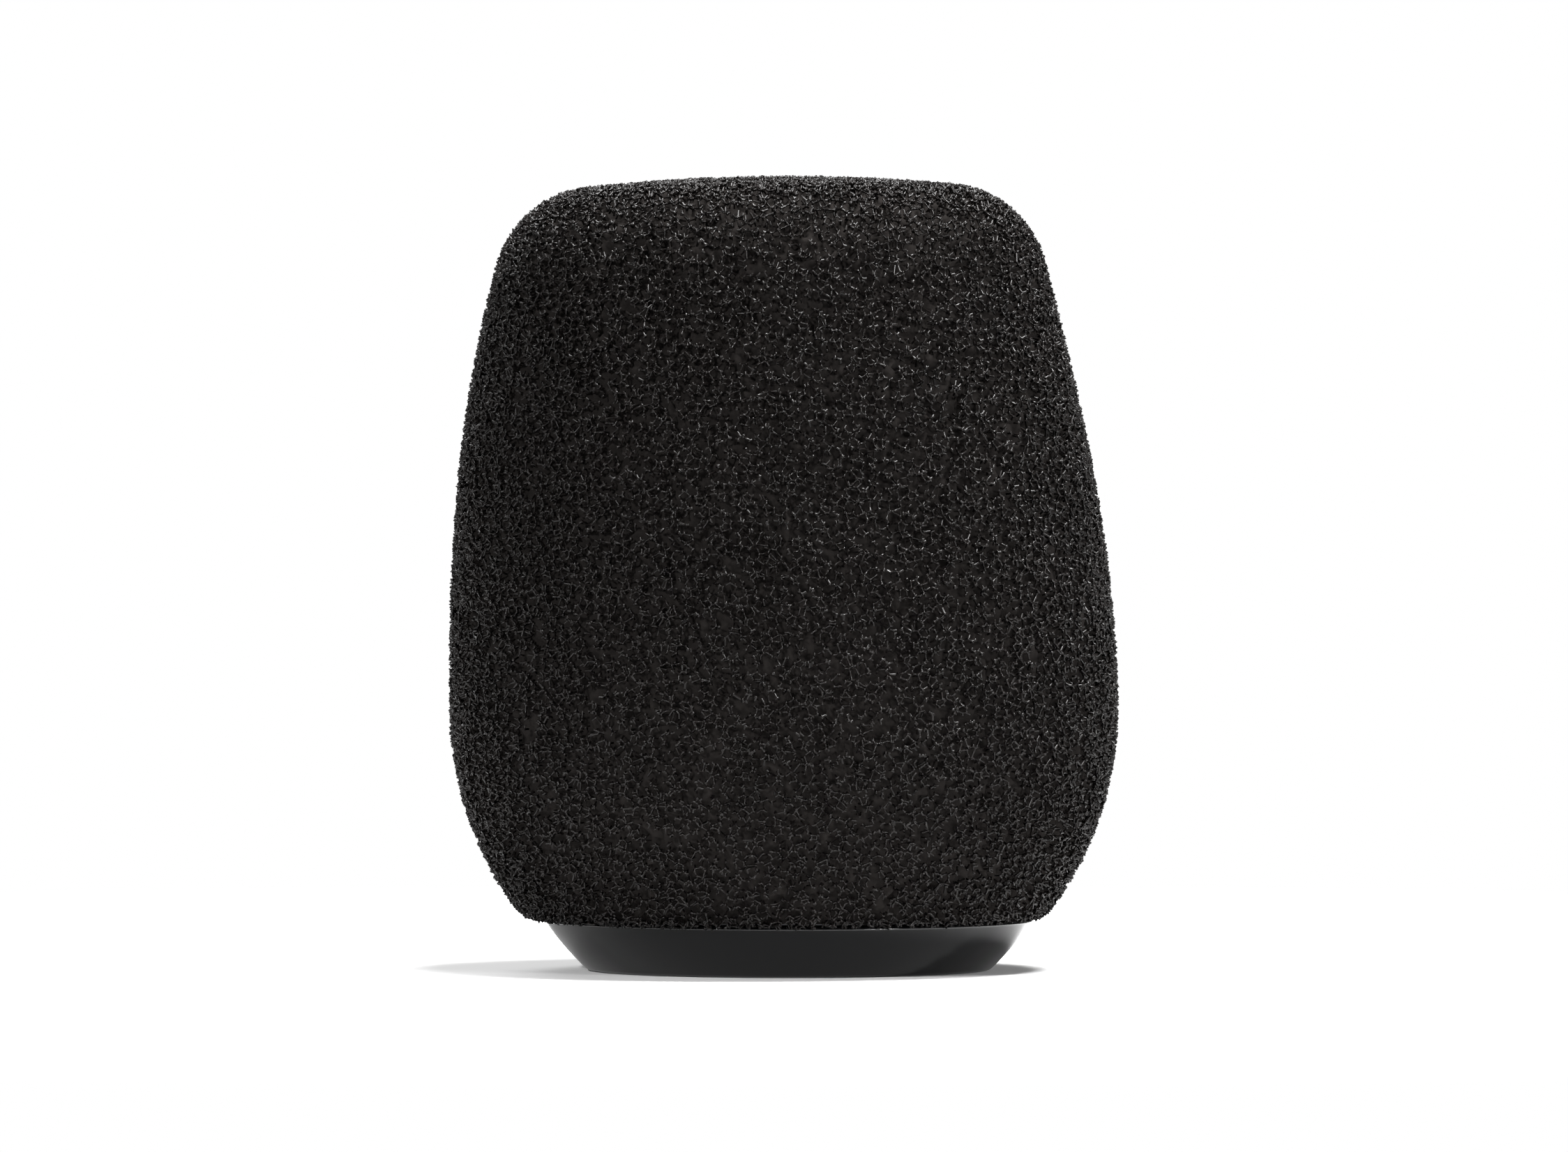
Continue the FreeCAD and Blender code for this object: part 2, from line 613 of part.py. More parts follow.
def squeeze_ring():
    """Tapered ring that presses the fingers in; its keys stop it from turning."""
    body = new_body("squeeze_ring")
    into_taper = S["squeeze_bottom"] - TIP_BOTTOM
    mouth = TIP_OUT + S["squeeze_gap"] + into_taper * S["taper_depth"] / S["taper_height"]
    section = [
        (mouth, S["squeeze_bottom"]),
        (SQUEEZE_OUT, S["squeeze_bottom"]),
        (SQUEEZE_OUT, SQUEEZE_TOP),
        (SQUEEZE_IN, SQUEEZE_TOP),
        (SQUEEZE_IN, TAPER_TOP),
    ]
    turned(body, outline(body, "section", section))
    in_wall = SQUEEZE_OUT - S["squeeze_wall"] / 2
    key_tip = FINGER_IN + S["key_gap"]
    key_foot = SQUEEZE_TOP - S["key_height"]
    key = [(key_tip, key_foot), (in_wall, key_foot), (in_wall, SQUEEZE_TOP), (key_tip, SQUEEZE_TOP)]
    sketch = outline(body, "key", key)
    repeated(body, widened(body, sketch, S["key_width"]), sketch, S["finger_count"])
    lug = [(in_wall, LUG_BOTTOM), (LUG_TIP, LUG_BOTTOM), (LUG_TIP, LUG_TOP), (in_wall, LUG_TOP)]
    sketch = outline(body, "lug", lug)
    repeated(body, wound(body, sketch, S["lug_span"]), sketch, S["lug_count"])
    split = [(0, 0), (LUG_TIP, 0), (LUG_TIP, PLATE_TOP), (0, PLATE_TOP)]
    between_keys = Size(FULL_TURN * 1.5, str(FULL_TURN * 1.5)) / S["finger_count"]
    sketch = outline(body, "split", split, spin=between_keys)
    widened(body, sketch, S["squeeze_split"], removes=True)


# --- Collar ---------------------------------------------------------------------------------


def twist_collar():
    """The conical collar that is turned by hand: cone, floor and hub in one moulding."""
    body = new_body("twist_collar")
    inner_foot = COLLAR_FOOT + S["collar_flare"] * S["collar_floor"] / S["collar_height"] - S["collar_wall"]
    inner_top = COLLAR_TOP - S["collar_wall"]
    groove_foot = SNAP_BOTTOM - S["snap_gap"]
    groove_top = SNAP_TOP + S["snap_gap"]
    section = [
        (HUB_IN + S["hub_chamfer"], 0),
        (COLLAR_FOOT, 0),
        (COLLAR_TOP, S["collar_height"]),
        (inner_top, S["collar_height"]),
        (inner_foot, S["collar_floor"]),
        (HUB_OUT, S["collar_floor"]),
        (HUB_OUT, groove_foot),
        (SNAP_IN, groove_foot),
        (SNAP_IN, groove_top),
        (HUB_OUT, groove_top),
        (HUB_OUT, HUB_TOP),
        (HUB_IN, HUB_TOP),
        (HUB_IN, S["hub_chamfer"]),
    ]
    turned(body, outline(body, "section", section, bows={1: S["collar_bow"]}))
    rise = (S["gusset_top"] - S["collar_floor"]) / (S["collar_height"] - S["collar_floor"])
    in_foot = inner_foot + S["collar_wall"] / 2
    in_top = in_foot + (inner_top - inner_foot) * rise
    edge = SKIRT_OUT + S["gusset_room"]
    in_floor = S["collar_floor"] / 2
    gusset = [(edge, in_floor), (in_foot, in_floor), (in_top, S["gusset_top"]), (edge, S["gusset_top"])]
    sketch = outline(body, "gusset", gusset)
    repeated(body, widened(body, sketch, S["gusset_width"]), sketch, S["gusset_count"])
    foot = LUG_BOTTOM - S["lug_gap"]
    top = LUG_TOP + S["lug_gap"]
    depth = LUG_TIP + S["lug_gap"]
    groove = [(SQUEEZE_OUT, foot), (depth, foot), (depth, top), (SQUEEZE_OUT, top)]
    sketch = outline(body, "groove", groove, spin=-S["end_gap"])
    sweep = S["lock_turn"] + S["lug_span"] + S["end_gap"] * 2
    repeated(body, wound(body, sketch, sweep, removes=True), sketch, S["lug_count"])
    rounded(body, S["collar_edge"], lambda edge: is_ring(edge, COLLAR_FOOT, Size(0, "0")))
    rounded(body, S["collar_lip_edge"], lambda edge: is_ring(edge, COLLAR_TOP, S["collar_height"]))


def friction_washer():
    """Slippery washer between the collar's hub and the base plate."""
    inner = HUB_IN + S["washer_inset"]
    outer = HUB_OUT - S["washer_inset"]
    plain_ring("friction_washer", inner, outer, WASHER_BOTTOM, PLATE_BOTTOM)


def snap_ring():
    """Spring-steel ring that keeps the collar on the base plate's skirt."""
    inner = SNAP_IN + S["snap_gap"]
    closed = Size(FULL_TURN, str(FULL_TURN)) - S["snap_opening"]
    plain_ring("snap_ring", inner, SNAP_OUT, SNAP_BOTTOM, SNAP_TOP, degrees=closed)


PIECES = [
    foam_cover,
    foam_bond_film,
    base_plate,
    collet_sleeve,
    grip_liner,
    collet_screws,
    squeeze_ring,
    twist_collar,
    friction_washer,
    snap_ring,
]


def check_document():
    """Stop if any object of the document failed, or a piece isn't a valid solid."""
    for item in DOC.Objects:
        if "Invalid" in item.State or "Error" in item.State:
            raise RuntimeError(f"{item.Name} failed: {item.State}")
    for make in PIECES:
        shape = DOC.getObjectsByLabel(make.__name__)[0].Shape
        if shape.isNull() or not shape.isValid() or not shape.Solids:
            raise RuntimeError(f"{make.__name__} is not a valid solid")


def write_pieces():
    """Write each piece to its own STEP file."""
    os.makedirs("parts", exist_ok=True)
    for make in PIECES:
        shape = DOC.getObjectsByLabel(make.__name__)[0].Shape
        shape.exportStep(f"parts/{make.__name__}.step")
        box = shape.BoundBox
        print(f"{make.__name__}: {len(shape.Solids)} solid(s), {shape.Volume:.1f} mm3,",
              f"z {box.ZMin:.2f} to {box.ZMax:.2f}, width {box.XLength:.2f}")


for make_piece in PIECES:
    make_piece()
DOC.recompute()
check_document()
write_pieces()
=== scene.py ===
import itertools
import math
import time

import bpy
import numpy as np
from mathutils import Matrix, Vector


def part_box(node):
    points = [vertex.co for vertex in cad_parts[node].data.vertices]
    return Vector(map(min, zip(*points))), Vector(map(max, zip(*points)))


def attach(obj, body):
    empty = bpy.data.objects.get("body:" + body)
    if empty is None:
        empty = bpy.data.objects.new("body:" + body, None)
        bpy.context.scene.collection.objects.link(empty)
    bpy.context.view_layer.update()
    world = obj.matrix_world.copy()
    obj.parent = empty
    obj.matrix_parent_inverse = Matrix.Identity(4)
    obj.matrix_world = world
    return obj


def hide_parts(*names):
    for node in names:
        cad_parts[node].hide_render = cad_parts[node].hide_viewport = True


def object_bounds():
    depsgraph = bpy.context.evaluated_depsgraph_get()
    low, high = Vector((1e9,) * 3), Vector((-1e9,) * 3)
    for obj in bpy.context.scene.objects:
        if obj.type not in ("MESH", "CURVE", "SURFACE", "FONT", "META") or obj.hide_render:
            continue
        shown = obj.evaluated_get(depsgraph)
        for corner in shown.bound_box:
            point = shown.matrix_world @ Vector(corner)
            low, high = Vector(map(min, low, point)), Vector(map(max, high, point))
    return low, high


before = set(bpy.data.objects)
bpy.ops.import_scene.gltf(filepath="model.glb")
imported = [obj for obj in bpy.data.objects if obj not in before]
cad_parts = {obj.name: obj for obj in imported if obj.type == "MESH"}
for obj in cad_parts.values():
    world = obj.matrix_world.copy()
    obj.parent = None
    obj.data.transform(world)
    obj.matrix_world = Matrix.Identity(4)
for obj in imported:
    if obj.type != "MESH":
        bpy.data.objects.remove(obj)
cad_low, cad_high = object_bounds()

# %% [markdown]
# # A foam windscreen for a microphone
# The solids are loaded above, each at its real size and place. Nothing here moves them. This file gives
# them their finish, and it builds the one piece whose look is its structure: the open-cell foam.
# All lengths are in metres, the size of a millimetre is MM. HAIR and SPECK are amounts too small to see,
# which keep a division or a comparison safe from rounding.

MM = 0.001
HAIR = 1e-9
SPECK = 1e-12
started = time.perf_counter()
print("size in mm:", [round(x / MM, 2) for x in cad_high - cad_low])

# %% [markdown]
# ## The camera first
# The windscreen stands at about the height of the lens, and its rims look nearly level, so the camera is
# far away and hardly looks down. A very long lens gives that: the farther the camera, the flatter the view.
# The aim point is the middle of the foam and the collar together, and so a little beside the Z axis.

# %% The camera
LENS = 330 * MM
SENSOR = 36 * MM
FRAME_WIDTH = 197.8 * MM
CAMERA_RISE = math.radians(0.8)
CLIP_START = 0.01
AIM = Vector((-0.6, 0, 49.7)) * MM


def place_camera():
    """A camera on the -Y side, at the distance where FRAME_WIDTH fills the sensor through this lens."""
    camera = bpy.data.objects.new("camera", bpy.data.cameras.new("camera"))
    bpy.context.scene.collection.objects.link(camera)
    camera.data.lens = LENS / MM
    camera.data.sensor_width = SENSOR / MM
    camera.data.clip_start = CLIP_START
    distance = LENS * FRAME_WIDTH / SENSOR
    back = Vector((0, -math.cos(CAMERA_RISE), math.sin(CAMERA_RISE)))
    camera.location = AIM + distance * back
    camera.rotation_euler = (math.pi / 2 - CAMERA_RISE, 0, 0)
    bpy.context.scene.camera = camera
    return distance


print(f"camera {place_camera():.3f} m away")

# %% [markdown]
# ## The outline of the foam
# The foam is turned about the Z axis, so its outline is one curve: five arcs, each tangent to the next.
# Where arcs meet smoothly, the direction from an arc's centre tells which arc is nearest to a point. That
# gives the depth of any point below the skin with no search at all. The limp foot hangs half a millimetre
# lower than its solid, round the edge of the collar, and so no gap shows between the two.

# %% The arcs of the outline
foam_low, foam_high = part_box("foam_cover")
HANG = 0.5 * MM
FOAM_RADIUS = (foam_high.y - foam_low.y) / 2
FOAM_BOTTOM, FOAM_TOP = foam_low.z - HANG, foam_high.z
WIDEST = 33 * MM
FOOT_ROUND = 3.6 * MM
FOOT_RADIUS = 30.9 * MM
SIDE_ROUND = 212 * MM
SHOULDER_ROUND = 13 * MM
CROWN_ROUND = 240 * MM


def circle_in_corner(first, first_round, second, second_round, size):
    """Centre of a circle of that size which touches two larger circles from inside: where circles round
    the two centres, each smaller by that size, meet on the side away from the axis."""
    a, b = first_round - size, second_round - size
    apart = second - first
    gap = np.hypot(*apart)
    along = (gap**2 + a**2 - b**2) / (2 * gap)
    across = math.sqrt(a**2 - along**2)
    ahead = apart / gap
    return first + along * ahead + across * np.array([ahead[1], -ahead[0]])


def outline_arcs():
    """The arcs from foot to crown: centres (radius, height), sizes, and the angles between which each is."""
    foot = np.array([FOOT_RADIUS, FOAM_BOTTOM + FOOT_ROUND])
    out, down = FOAM_RADIUS - foot[0], WIDEST - foot[1]
    low_round = (out**2 + down**2 - FOOT_ROUND**2) / (2 * (out - FOOT_ROUND))
    low = np.array([FOAM_RADIUS - low_round, WIDEST])
    side = np.array([FOAM_RADIUS - SIDE_ROUND, WIDEST])
    crown = np.array([0, FOAM_TOP - CROWN_ROUND])
    shoulder = circle_in_corner(crown, CROWN_ROUND, side, SIDE_ROUND, SHOULDER_ROUND)
    centres = np.array([foot, low, side, shoulder, crown])
    rounds = np.array([FOOT_ROUND, low_round, SIDE_ROUND, SHOULDER_ROUND, CROWN_ROUND])
    joins = np.array([foot - low, shoulder - side, shoulder - crown])
    foot_end, side_end, shoulder_end = np.arctan2(joins[:, 1], joins[:, 0])
    turns = np.array([-math.pi / 2, foot_end, 0, side_end, shoulder_end, math.pi / 2 + HAIR])
    return centres, rounds, turns


ARC_CENTRES, ARC_ROUNDS, ARC_TURNS = outline_arcs()
print("arc centres in mm:", (ARC_CENTRES / MM).round(2).tolist())
print("arc sizes in mm:", (ARC_ROUNDS / MM).round(2).tolist())
print("turns in degrees:", np.degrees(ARC_TURNS).round(1).tolist())

# %% [markdown]
# ## Soft foam doesn't stand quite straight
# Foam is limp. Like its solid, this one leans over to one side. It bends in its middle rather than at its
# foot, so every point is moved sideways by an amount that grows with its height. The crown doesn't lean
# with the rest: it is level with the collar, so the side it leans away from stands a little higher.
# Under the foam, the plate and the collar's top take up the middle, so no foam is there.

# %% The lean, and the depth below the skin
LEAN_LOW = -0.6 * MM
LEAN_TOP = -2.3 * MM
LEAN_FROM = 30 * MM
LEAN_TO = 88 * MM
CROWN_RISE = -LEAN_TOP / CROWN_ROUND
SEAT_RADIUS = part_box("twist_collar")[1].x + 0.1 * MM
SEAT_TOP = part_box("foam_bond_film")[1].z


def bend(height):
    """The share of the bend that a height has: none at LEAN_FROM, all at LEAN_TO, eased in and out."""
    share = np.clip((height - LEAN_FROM) / (LEAN_TO - LEAN_FROM), 0, 1)
    return share * share * (3 - 2 * share)


def lean(height):
    """How far the foam has moved along X at a height."""
    return LEAN_LOW + (LEAN_TOP - LEAN_LOW) * bend(height)


def foam_depth(points):
    """Depth below the foam's skin, negative outside: for each arc whose angles hold the point, the arc's
    size less the distance from its centre, and the least of those and of the height over the bottom. Where
    the seat is, the distance to the seat's wall, negative too, if that is less."""
    across = points[:, 0] - lean(points[:, 2])
    radius = np.hypot(across, points[:, 1])
    height = points[:, 2] - CROWN_RISE * bend(points[:, 2]) * across
    depth = points[:, 2] - FOAM_BOTTOM
    for (middle, level), size, start, end in zip(ARC_CENTRES, ARC_ROUNDS, ARC_TURNS, ARC_TURNS[1:]):
        turn = np.arctan2(height - level, radius - middle)
        here = (turn >= start) & (turn <= end)
        depth = np.where(here, np.minimum(depth, size - np.hypot(radius - middle, height - level)), depth)
    seat = np.hypot(points[:, 0], points[:, 1]) - SEAT_RADIUS
    return np.where((seat < 0) & (points[:, 2] < SEAT_TOP), np.minimum(depth, seat), depth)


probe = np.array([[FOAM_RADIUS + lean(WIDEST), 0, WIDEST], [lean(FOAM_TOP), 0, FOAM_TOP]])
print("depth of side and top in mm, both nearly nothing:", (foam_depth(probe) / MM).round(3).tolist())

# %% [markdown]
# ## What open-cell foam is
# Foam is made by bubbles that grow until they press against each other. In reticulated foam the thin films
# between them are burnt away, and only the struts are left, along the edges where three bubbles met. So the
# foam is worked out the way it grows: bubble centres first, then the points where four bubbles meet, then
# the struts between those points. It is done only in a thin layer below the skin, where light reaches.

# %% The bubbles
CELL_EDGE = 1.39 * MM
CELL_JITTER = 0.42
CELL_LOST = 0.006
LAYER_OUT = 1.0 * MM
LAYER_IN = 2.0 * MM
SHOVE = 1.12 * MM
SHOVES = 5
BOX_MARGIN = 3 * MM
SLICE = 3 * MM
SEED = 11
CUBE_STEPS = [s for s in itertools.product((-1, 0, 1), repeat=3) if s > (0, 0, 0)]


def near_pairs(points, reach):
    """All pairs of points nearer than reach. Points go into cubes as wide as reach, and only points of the
    same cube or of touching cubes are compared. Each pair is given once, as two whole arrays."""
    cube = np.floor((points - points.min(0)) / reach).astype(np.int64) + 1
    spans = cube.max(0) + 2
    key = (cube[:, 0] * spans[1] + cube[:, 1]) * spans[2] + cube[:, 2]
    order = np.argsort(key, kind="stable")
    cells, first, count = np.unique(key[order], return_index=True, return_counts=True)
    found = []
    for step in [(0, 0, 0)] + CUBE_STEPS:
        other = cells + (step[0] * spans[1] + step[1]) * spans[2] + step[2]
        at = np.searchsorted(cells, other).clip(max=len(cells) - 1)
        here = np.nonzero(cells[at] == other)[0]
        there = at[here]
        sizes = count[here] * count[there]
        run = np.repeat(np.arange(len(here)), sizes)
        turn = np.arange(sizes.sum()) - np.repeat(np.cumsum(sizes) - sizes, sizes)
        a = first[here][run] + turn // count[there][run]
        b = first[there][run] + turn % count[there][run]
        if step == (0, 0, 0):
            a, b = a[a < b], b[a < b]
        a, b = order[a], order[b]
        close = ((points[a] - points[b]) ** 2).sum(1) < reach**2
        found.append((a[close], b[close]))
    return np.concatenate([f[0] for f in found]), np.concatenate([f[1] for f in found])


def lattice(rng, low, high):
    """Centres packed like the cells of a soap froth: two cubic grids, one in the middle of the other, turned
    so that no row of cells follows the skin, each centre then moved at random."""
    reach = np.linalg.norm(high - low) / 2
    steps = np.arange(-math.ceil(reach / CELL_EDGE), math.ceil(reach / CELL_EDGE) + 1)
    grid = np.stack(np.meshgrid(steps, steps, steps, indexing="ij"), -1).reshape(-1, 3).astype(float)
    grid = np.concatenate([grid, grid + 0.5]) * CELL_EDGE
    turned, _ = np.linalg.qr(rng.normal(size=(3, 3)))
    grid = grid @ turned + (low + high) / 2
    grid = grid[((grid > low) & (grid < high)).all(1)]
    return grid + rng.uniform(-CELL_JITTER, CELL_JITTER, grid.shape) * CELL_EDGE


def bubbles(rng):
    """The bubble centres of the layer. Two that are too near shove each other apart, a few times over. They
    are numbered slice by slice upwards, and along X in each slice."""
    margin = np.full(3, BOX_MARGIN)
    points = lattice(rng, np.array(foam_low) - margin, np.array(foam_high) + margin)
    depth = foam_depth(points)
    points = points[(depth > -LAYER_OUT) & (depth < LAYER_IN)]
    points = points[rng.random(len(points)) > CELL_LOST]
    for _ in range(SHOVES):
        a, b = near_pairs(points, SHOVE)
        apart = points[b] - points[a]
        gap = np.linalg.norm(apart, axis=1)
        push = apart * ((SHOVE - gap) / (2 * gap + HAIR))[:, None]
        for axis in range(3):
            points[:, axis] += np.bincount(b, push[:, axis], len(points))
            points[:, axis] -= np.bincount(a, push[:, axis], len(points))
    return points[np.lexsort((points[:, 0], (points[:, 2] / SLICE).round()))]


rng = np.random.default_rng(SEED)
cells = bubbles(rng)
print(f"{len(cells)} bubbles, {time.perf_counter() - started:.1f} s")

# %% [markdown]
# ## Where four bubbles meet
# A point where four bubbles meet is as far from all four centres, and no other centre is nearer. For three
# neighbours a, b and c of a centre, that point has a closed formula made of cross products, so millions of
# candidates are worked out at once and the false ones are dropped.

# %% The meeting points
REACH = 2.25 * MM
LARGEST = 1.25 * MM
DEEPEST = 0.64 * MM
SPOT_MARGIN = 0.6 * MM
NEAREST_FEW = 12
BATCH = 1_500_000


def neighbour_table(a, b, count, both):
    """Row i lists the neighbours of i, filled up with -1; only those with a higher number unless both."""
    if both:
        a, b = np.concatenate([a, b]), np.concatenate([b, a])
    else:
        a, b = np.minimum(a, b), np.maximum(a, b)
    order = np.argsort(a, kind="stable")
    a, b = a[order], b[order]
    rank = np.arange(len(a)) - np.searchsorted(a, a)
    table = np.full((count, rank.max() + 1), -1)
    table[a, rank] = b
    return table


def meeting_points(points):
    """Four bubbles a, b, c and p meet at p + n, with a, b and c measured from p, where
    n = (|a|^2 b x c + |b|^2 c x a + |c|^2 a x b) / 2a.(b x c).
    It is kept if no other centre q has |q|^2 < 2 n.q."""
    a, b = near_pairs(points, REACH)
    higher = neighbour_table(a, b, len(points), both=False)
    near = neighbour_table(a, b, len(points), both=True)
    gap = np.where(near < 0, np.inf, np.linalg.norm(points[near] - points[:, None], axis=2))
    near = np.take_along_axis(near, np.argsort(gap, axis=1), 1)
    width = (higher >= 0).sum(1)
    spots, fours = [], []
    for m in range(3, width.max() + 1):
        triples = np.array(list(itertools.combinations(range(m), 3)))
        rows = np.nonzero(width == m)[0]
        for part in np.array_split(rows, max(1, math.ceil(len(rows) * len(triples) / BATCH))):
            if not len(part):
                continue
            spot, four = meeting_points_of(points, part, higher[part, :m], triples, near)
            spots.append(spot)
            fours.append(four)
    return np.concatenate(spots), np.concatenate(fours)


def meeting_points_of(points, part, higher, triples, near):
    """The meeting points of these centres with their higher neighbours, taken three at a time. The nearest
    few other centres are tested first, because they rule most candidates out."""
    away = points[higher] - points[part][:, None]
    span = np.einsum("nik,njk->nij", away, away)
    square = np.einsum("nii->ni", span)
    close = square[:, :, None] + square[:, None, :] - 2 * span < REACH**2
    i, j, k = triples.T
    row, pick = np.nonzero(close[:, i, j] & close[:, i, k] & close[:, j, k])
    i, j, k = i[pick], j[pick], k[pick]
    a, b, c = away[row, i], away[row, j], away[row, k]
    bc = np.cross(b, c)
    volume = (a * bc).sum(1)
    top = square[row, i, None] * bc + square[row, j, None] * np.cross(c, a)
    top = top + square[row, k, None] * np.cross(a, b)
    with np.errstate(divide="ignore", invalid="ignore"):
        n = top / (2 * volume)[:, None]
        keep = (n**2).sum(1) < LARGEST**2
    row, i, j, k, n = row[keep], i[keep], j[keep], k[keep], n[keep]
    spot = points[part[row]] + n
    depth = foam_depth(spot)
    keep = (depth > -LAYER_OUT) & (depth < DEEPEST + SPOT_MARGIN)
    row, i, j, k, n, spot = row[keep], i[keep], j[keep], k[keep], n[keep], spot[keep]
    for columns in (slice(0, NEAREST_FEW), slice(NEAREST_FEW, None)):
        others = near[part[row]][:, columns]
        q = points[others] - points[part[row]][:, None]
        slack = (q**2).sum(2) - 2 * np.einsum("nk,nqk->nq", n, q)
        keep = ((slack > -SPECK) | (others < 0)).all(1)
        row, i, j, k, n, spot = row[keep], i[keep], j[keep], k[keep], n[keep], spot[keep]
    own = part[row]
    return spot, np.stack([own, higher[row, i], higher[row, j], higher[row, k]], 1)


spots, fours = meeting_points(cells)
fours = np.sort(fours, axis=1)
print(f"{len(spots)} meeting points, {time.perf_counter() - started:.1f} s")

# %% [markdown]
# ## From meeting points to struts
# Three bubbles share an edge, and each edge ends at two meeting points. So two meeting points that have
# three bubbles in common are joined by a strut. Real foam has no very short struts, because the film's
# tension pulls their ends apart, and the same is done here. Where a strut leaves the layer, it is cut, as
# the knife or the hot wire cut it on the real piece, and a little above or below the skin at random.

# %% The struts
SHORTEST = 0.26 * MM
STRETCHES = 4
FREE_END = 1.2 * MM
OTHERS = np.array([[m for m in range(4) if m != k] for k in range(4)])
PAIRS = list(itertools.combinations(range(4), 2))
RINGS = np.array([[PAIRS.index(p) for p in itertools.combinations(three, 2)] for three in OTHERS.tolist()])


def unit(vectors):
    """Each vector divided by its length."""
    return vectors / np.maximum(np.linalg.norm(vectors, axis=-1, keepdims=True), SPECK)


def edge_directions(points, fours):
    """For each meeting point and each of its four bubbles left out: the line at a right angle to the plane
    of the other three centres, pointing away from the one left out."""
    corner = points[fours]
    away = np.empty(corner.shape)
    for k in range(4):
        a, b, c = (corner[:, m] for m in OTHERS[k])
        across = np.cross(b - a, c - a)
        away[:, k] = -across * np.sign(((corner[:, k] - a) * across).sum(1))[:, None]
    return unit(away)


def shared_edges(fours, count):
    """Edges as pairs of numbers 4 * point + bubble left out. Two of them belong together if their other
    three bubbles are the same, which a sort of one number made of the three shows."""
    three = fours[:, OTHERS].astype(np.int64)
    key = ((three[..., 0] * count + three[..., 1]) * count + three[..., 2]).ravel()
    order = np.argsort(key, kind="stable")
    same = key[order[1:]] == key[order[:-1]]
    return order[:-1][same], order[1:][same]


def stretch_short(spots, away, start, end):
    """Moves the ends of each strut that is too short apart, along its own line."""
    along = away.reshape(-1, 3)[start]
    for _ in range(STRETCHES):
        length = ((spots[end // 4] - spots[start // 4]) * along).sum(1)
        push = along * (np.clip(SHORTEST - length, 0, SHORTEST) / 2)[:, None]
        for axis in range(3):
            spots[:, axis] += np.bincount(end // 4, push[:, axis], len(spots))
            spots[:, axis] -= np.bincount(start // 4, push[:, axis], len(spots))
    return spots


away = edge_directions(cells, fours)
start, end = shared_edges(fours, len(cells))
spots = stretch_short(spots, away, start, end)
along = unit(spots[end // 4] - spots[start // 4])
away.reshape(-1, 3)[start] = along
away.reshape(-1, 3)[end] = -along
spot_depth = foam_depth(spots)
inside = (spot_depth > 0) & (spot_depth < DEEPEST)
print(f"{len(start)} struts, {inside.sum()} meeting points in the layer")
print(f"{time.perf_counter() - started:.1f} s")

# %% [markdown]
# ## The shape of a strut
# A strut has three concave sides, one towards each of its bubbles, and its three ridges lie in the films
# that the bubbles shared. A film belongs to a pair of bubbles, so each meeting point gets six corners, one
# for each pair, and each strut joins three corners at one end to three at the other. The four small faces
# left at a meeting point, one towards each bubble, close it. Nothing overlaps and no edge is open.

# %% Corners and rings
STRUT = 0.145 * MM
STRUT_SPREAD = 0.12
STUB = 0.15 * MM
CUT_SPREAD = 0.14 * MM
CUT_BELOW = 0.05 * MM
FARTHEST_CORNER = 2


def corners(rng, spots, away):
    """A film's corner lies on the line that halves the angle between its two struts there, at the distance
    where both struts have their full thickness: size / sin(half the angle)."""
    size = STRUT * (1 + STRUT_SPREAD * rng.uniform(-1, 1, len(spots)))
    found = np.empty((len(spots), 6, 3))
    for column, pair in enumerate(PAIRS):
        first, second = (away[:, k] for k in range(4) if k not in pair)
        far = np.minimum(2 / np.linalg.norm(first - second, axis=1), FARTHEST_CORNER)
        found[:, column] = spots + unit(first + second) * (size * far)[:, None]
    return found


def drawn_struts(rng, corner):
    """All struts with an end in the layer: the edge number at that end, the edge number at the other end
    or -1 where it is cut, and for cut ones the three points of the cut face."""
    single = np.ones(len(spots) * 4, bool)
    single[start] = single[end] = False
    single = np.nonzero(single & np.repeat(inside, 4))[0]
    both = inside[start // 4] & inside[end // 4]
    first = np.concatenate([start[~both & inside[start // 4]], end[~both & inside[end // 4]]])
    other = np.concatenate([end[~both & inside[start // 4]], start[~both & inside[end // 4]]])
    near_ring = corner[first // 4][np.arange(len(first))[:, None], RINGS[first % 4]]
    far_ring = corner[other // 4][np.arange(len(other))[:, None], RINGS[other % 4]]
    lone_ring = corner[single // 4][np.arange(len(single))[:, None], RINGS[single % 4]]
    reach = away.reshape(-1, 3)[single] * FREE_END
    cut = np.concatenate([first, single])
    near_ring = np.concatenate([near_ring, lone_ring])
    far_ring = np.concatenate([far_ring, lone_ring + reach[:, None]])
    a = spot_depth[cut // 4]
    b = np.concatenate([spot_depth[other // 4], foam_depth(spots[single // 4] + reach)])
    length = np.linalg.norm(far_ring.mean(1) - near_ring.mean(1), axis=1)
    skin = rng.uniform(-1, 1, len(cut)) * CUT_SPREAD
    goal = np.where(b < a, skin, DEEPEST + CUT_BELOW)
    share = (goal - a) / np.where(np.abs(b - a) < HAIR, HAIR, b - a)
    share = np.clip(share, STUB / np.maximum(length, STUB), 1)
    leaves = (b < 0) | (b > DEEPEST)
    ends = near_ring + (far_ring - near_ring) * share[:, None, None]
    return (np.concatenate([start[both], cut[leaves]]),
            np.concatenate([end[both], np.full(leaves.sum(), -1)]), ends[leaves])


corner = corners(rng, spots, away)
strut_near, strut_far, cut_rings = drawn_struts(rng, corner)
print(f"{len(strut_near)} struts drawn, {len(cut_rings)} of them cut, {time.perf_counter() - started:.1f} s")

# %% [markdown]
# ## Meshes of a size that can be handled
# The foam has far over a million small faces. They are shared out over a crown and equal sectors of the
# side, each a mesh of its own. Where a strut crosses into the next sector, both sides get a small face
# that closes them, so every mesh is watertight. Each mesh also gets a map of its own, laid out by angle
# and height, because an automatic unwrapping of so many small faces would take very long.

